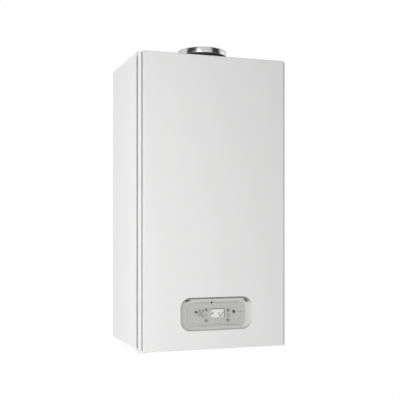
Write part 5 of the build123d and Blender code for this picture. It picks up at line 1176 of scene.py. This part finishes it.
PUMP_X, PUMP_HEIGHT, PUMP_MOTOR_DEPTH = 130.0, 150.0, 150.0
PUMP_SHELL_R = 42.0
rib_sizes = {
    "Count": 32, "Radius": PUMP_SHELL_R * MM, "Rib Height": 0.0036, "Rib Thickness": 0.0018,
    "Rib Length": 0.074, "Centre": place(PUMP_X, PUMP_HEIGHT, PUMP_MOTOR_DEPTH)}
pump_ribs = grow(rib_tree, [(0, 0, 0)], "pump_motor_ribs", "chassis", "dark_plastic",
                 FINISHES["dark_plastic"], rib_sizes)
print("pump ribs:", len(pump_ribs.data.polygons), "faces")

# %% [markdown]
# ## Cable ties
# The loom climbs the right side of the casing and is tied every few centimetres. Ties that were placed one
# by one would have to be turned one by one too. The tree turns a line of two points into a curve, divides
# it evenly and sets a strap with its lock on each point, square to the line.

# %% The tie tree
STRAP_THICK = 0.0006
tie_tree, sizes_in, result = start_tree("ties along a cable", [
    ("Spacing", "Float", 0.07), ("Cable Radius", "Float", 0.003), ("Strap Width", "Float", 0.0026),
    ("Finish", "Material", None)])
line = step(tie_tree, "GeometryNodeMeshToCurve", {"Mesh": sizes_in["Points"]})
spots = step(tie_tree, "GeometryNodeResampleCurve", {
    "Curve": line.outputs[0], "Length": sizes_in["Spacing"]}, mode="LENGTH")
strap_r = step(tie_tree, "ShaderNodeMath", {
    0: sizes_in["Cable Radius"], 1: STRAP_THICK}, operation="ADD").outputs[0]
strap = step(tie_tree, "GeometryNodeMeshCylinder", {
    "Vertices": 32, "Radius": strap_r, "Depth": sizes_in["Strap Width"]})
lock_size = step(tie_tree, "ShaderNodeCombineXYZ", {
    "X": 0.0034, "Y": 0.0040, "Z": share_of(tie_tree, sizes_in["Strap Width"], 1.5)})
lock = step(tie_tree, "GeometryNodeMeshCube", {"Size": lock_size.outputs[0]})
lock_out = step(tie_tree, "ShaderNodeCombineXYZ", {"X": share_of(tie_tree, strap_r, -1.1)})
lock_set = step(tie_tree, "GeometryNodeTransform", {
    "Geometry": lock.outputs[0], "Translation": lock_out.outputs[0]})
tie = step(tie_tree, "GeometryNodeJoinGeometry")
for piece in (strap.outputs[0], lock_set.outputs[0]):
    tie_tree.links.new(piece, tie.inputs[0])
square_on = step(tie_tree, "FunctionNodeAlignRotationToVector", {
    "Vector": step(tie_tree, "GeometryNodeInputTangent").outputs[0]}, axis="Z")
ties = step(tie_tree, "GeometryNodeInstanceOnPoints", {
    "Points": spots.outputs[0], "Instance": tie.outputs[0], "Rotation": square_on.outputs[0]})
end_tree(tie_tree, ties.outputs[0], sizes_in["Finish"], result)

LOOM_R = 3.0
loom_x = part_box("wiring_loom")[1].x / MM - LOOM_R
LOOM_DEPTH = 150.0
FIRST_TIE, LAST_TIE = 110, 530  # heights
tie_line = [place(loom_x, h, LOOM_DEPTH) for h in (FIRST_TIE, LAST_TIE)]
loom_ties = grow(tie_tree, tie_line, "loom_ties", "chassis", "white_plastic", FINISHES["white_plastic"],
                 {"Spacing": 0.07, "Cable Radius": LOOM_R * MM}, edges=[(0, 1)])
print("loom ties:", len(loom_ties.data.polygons), "faces")
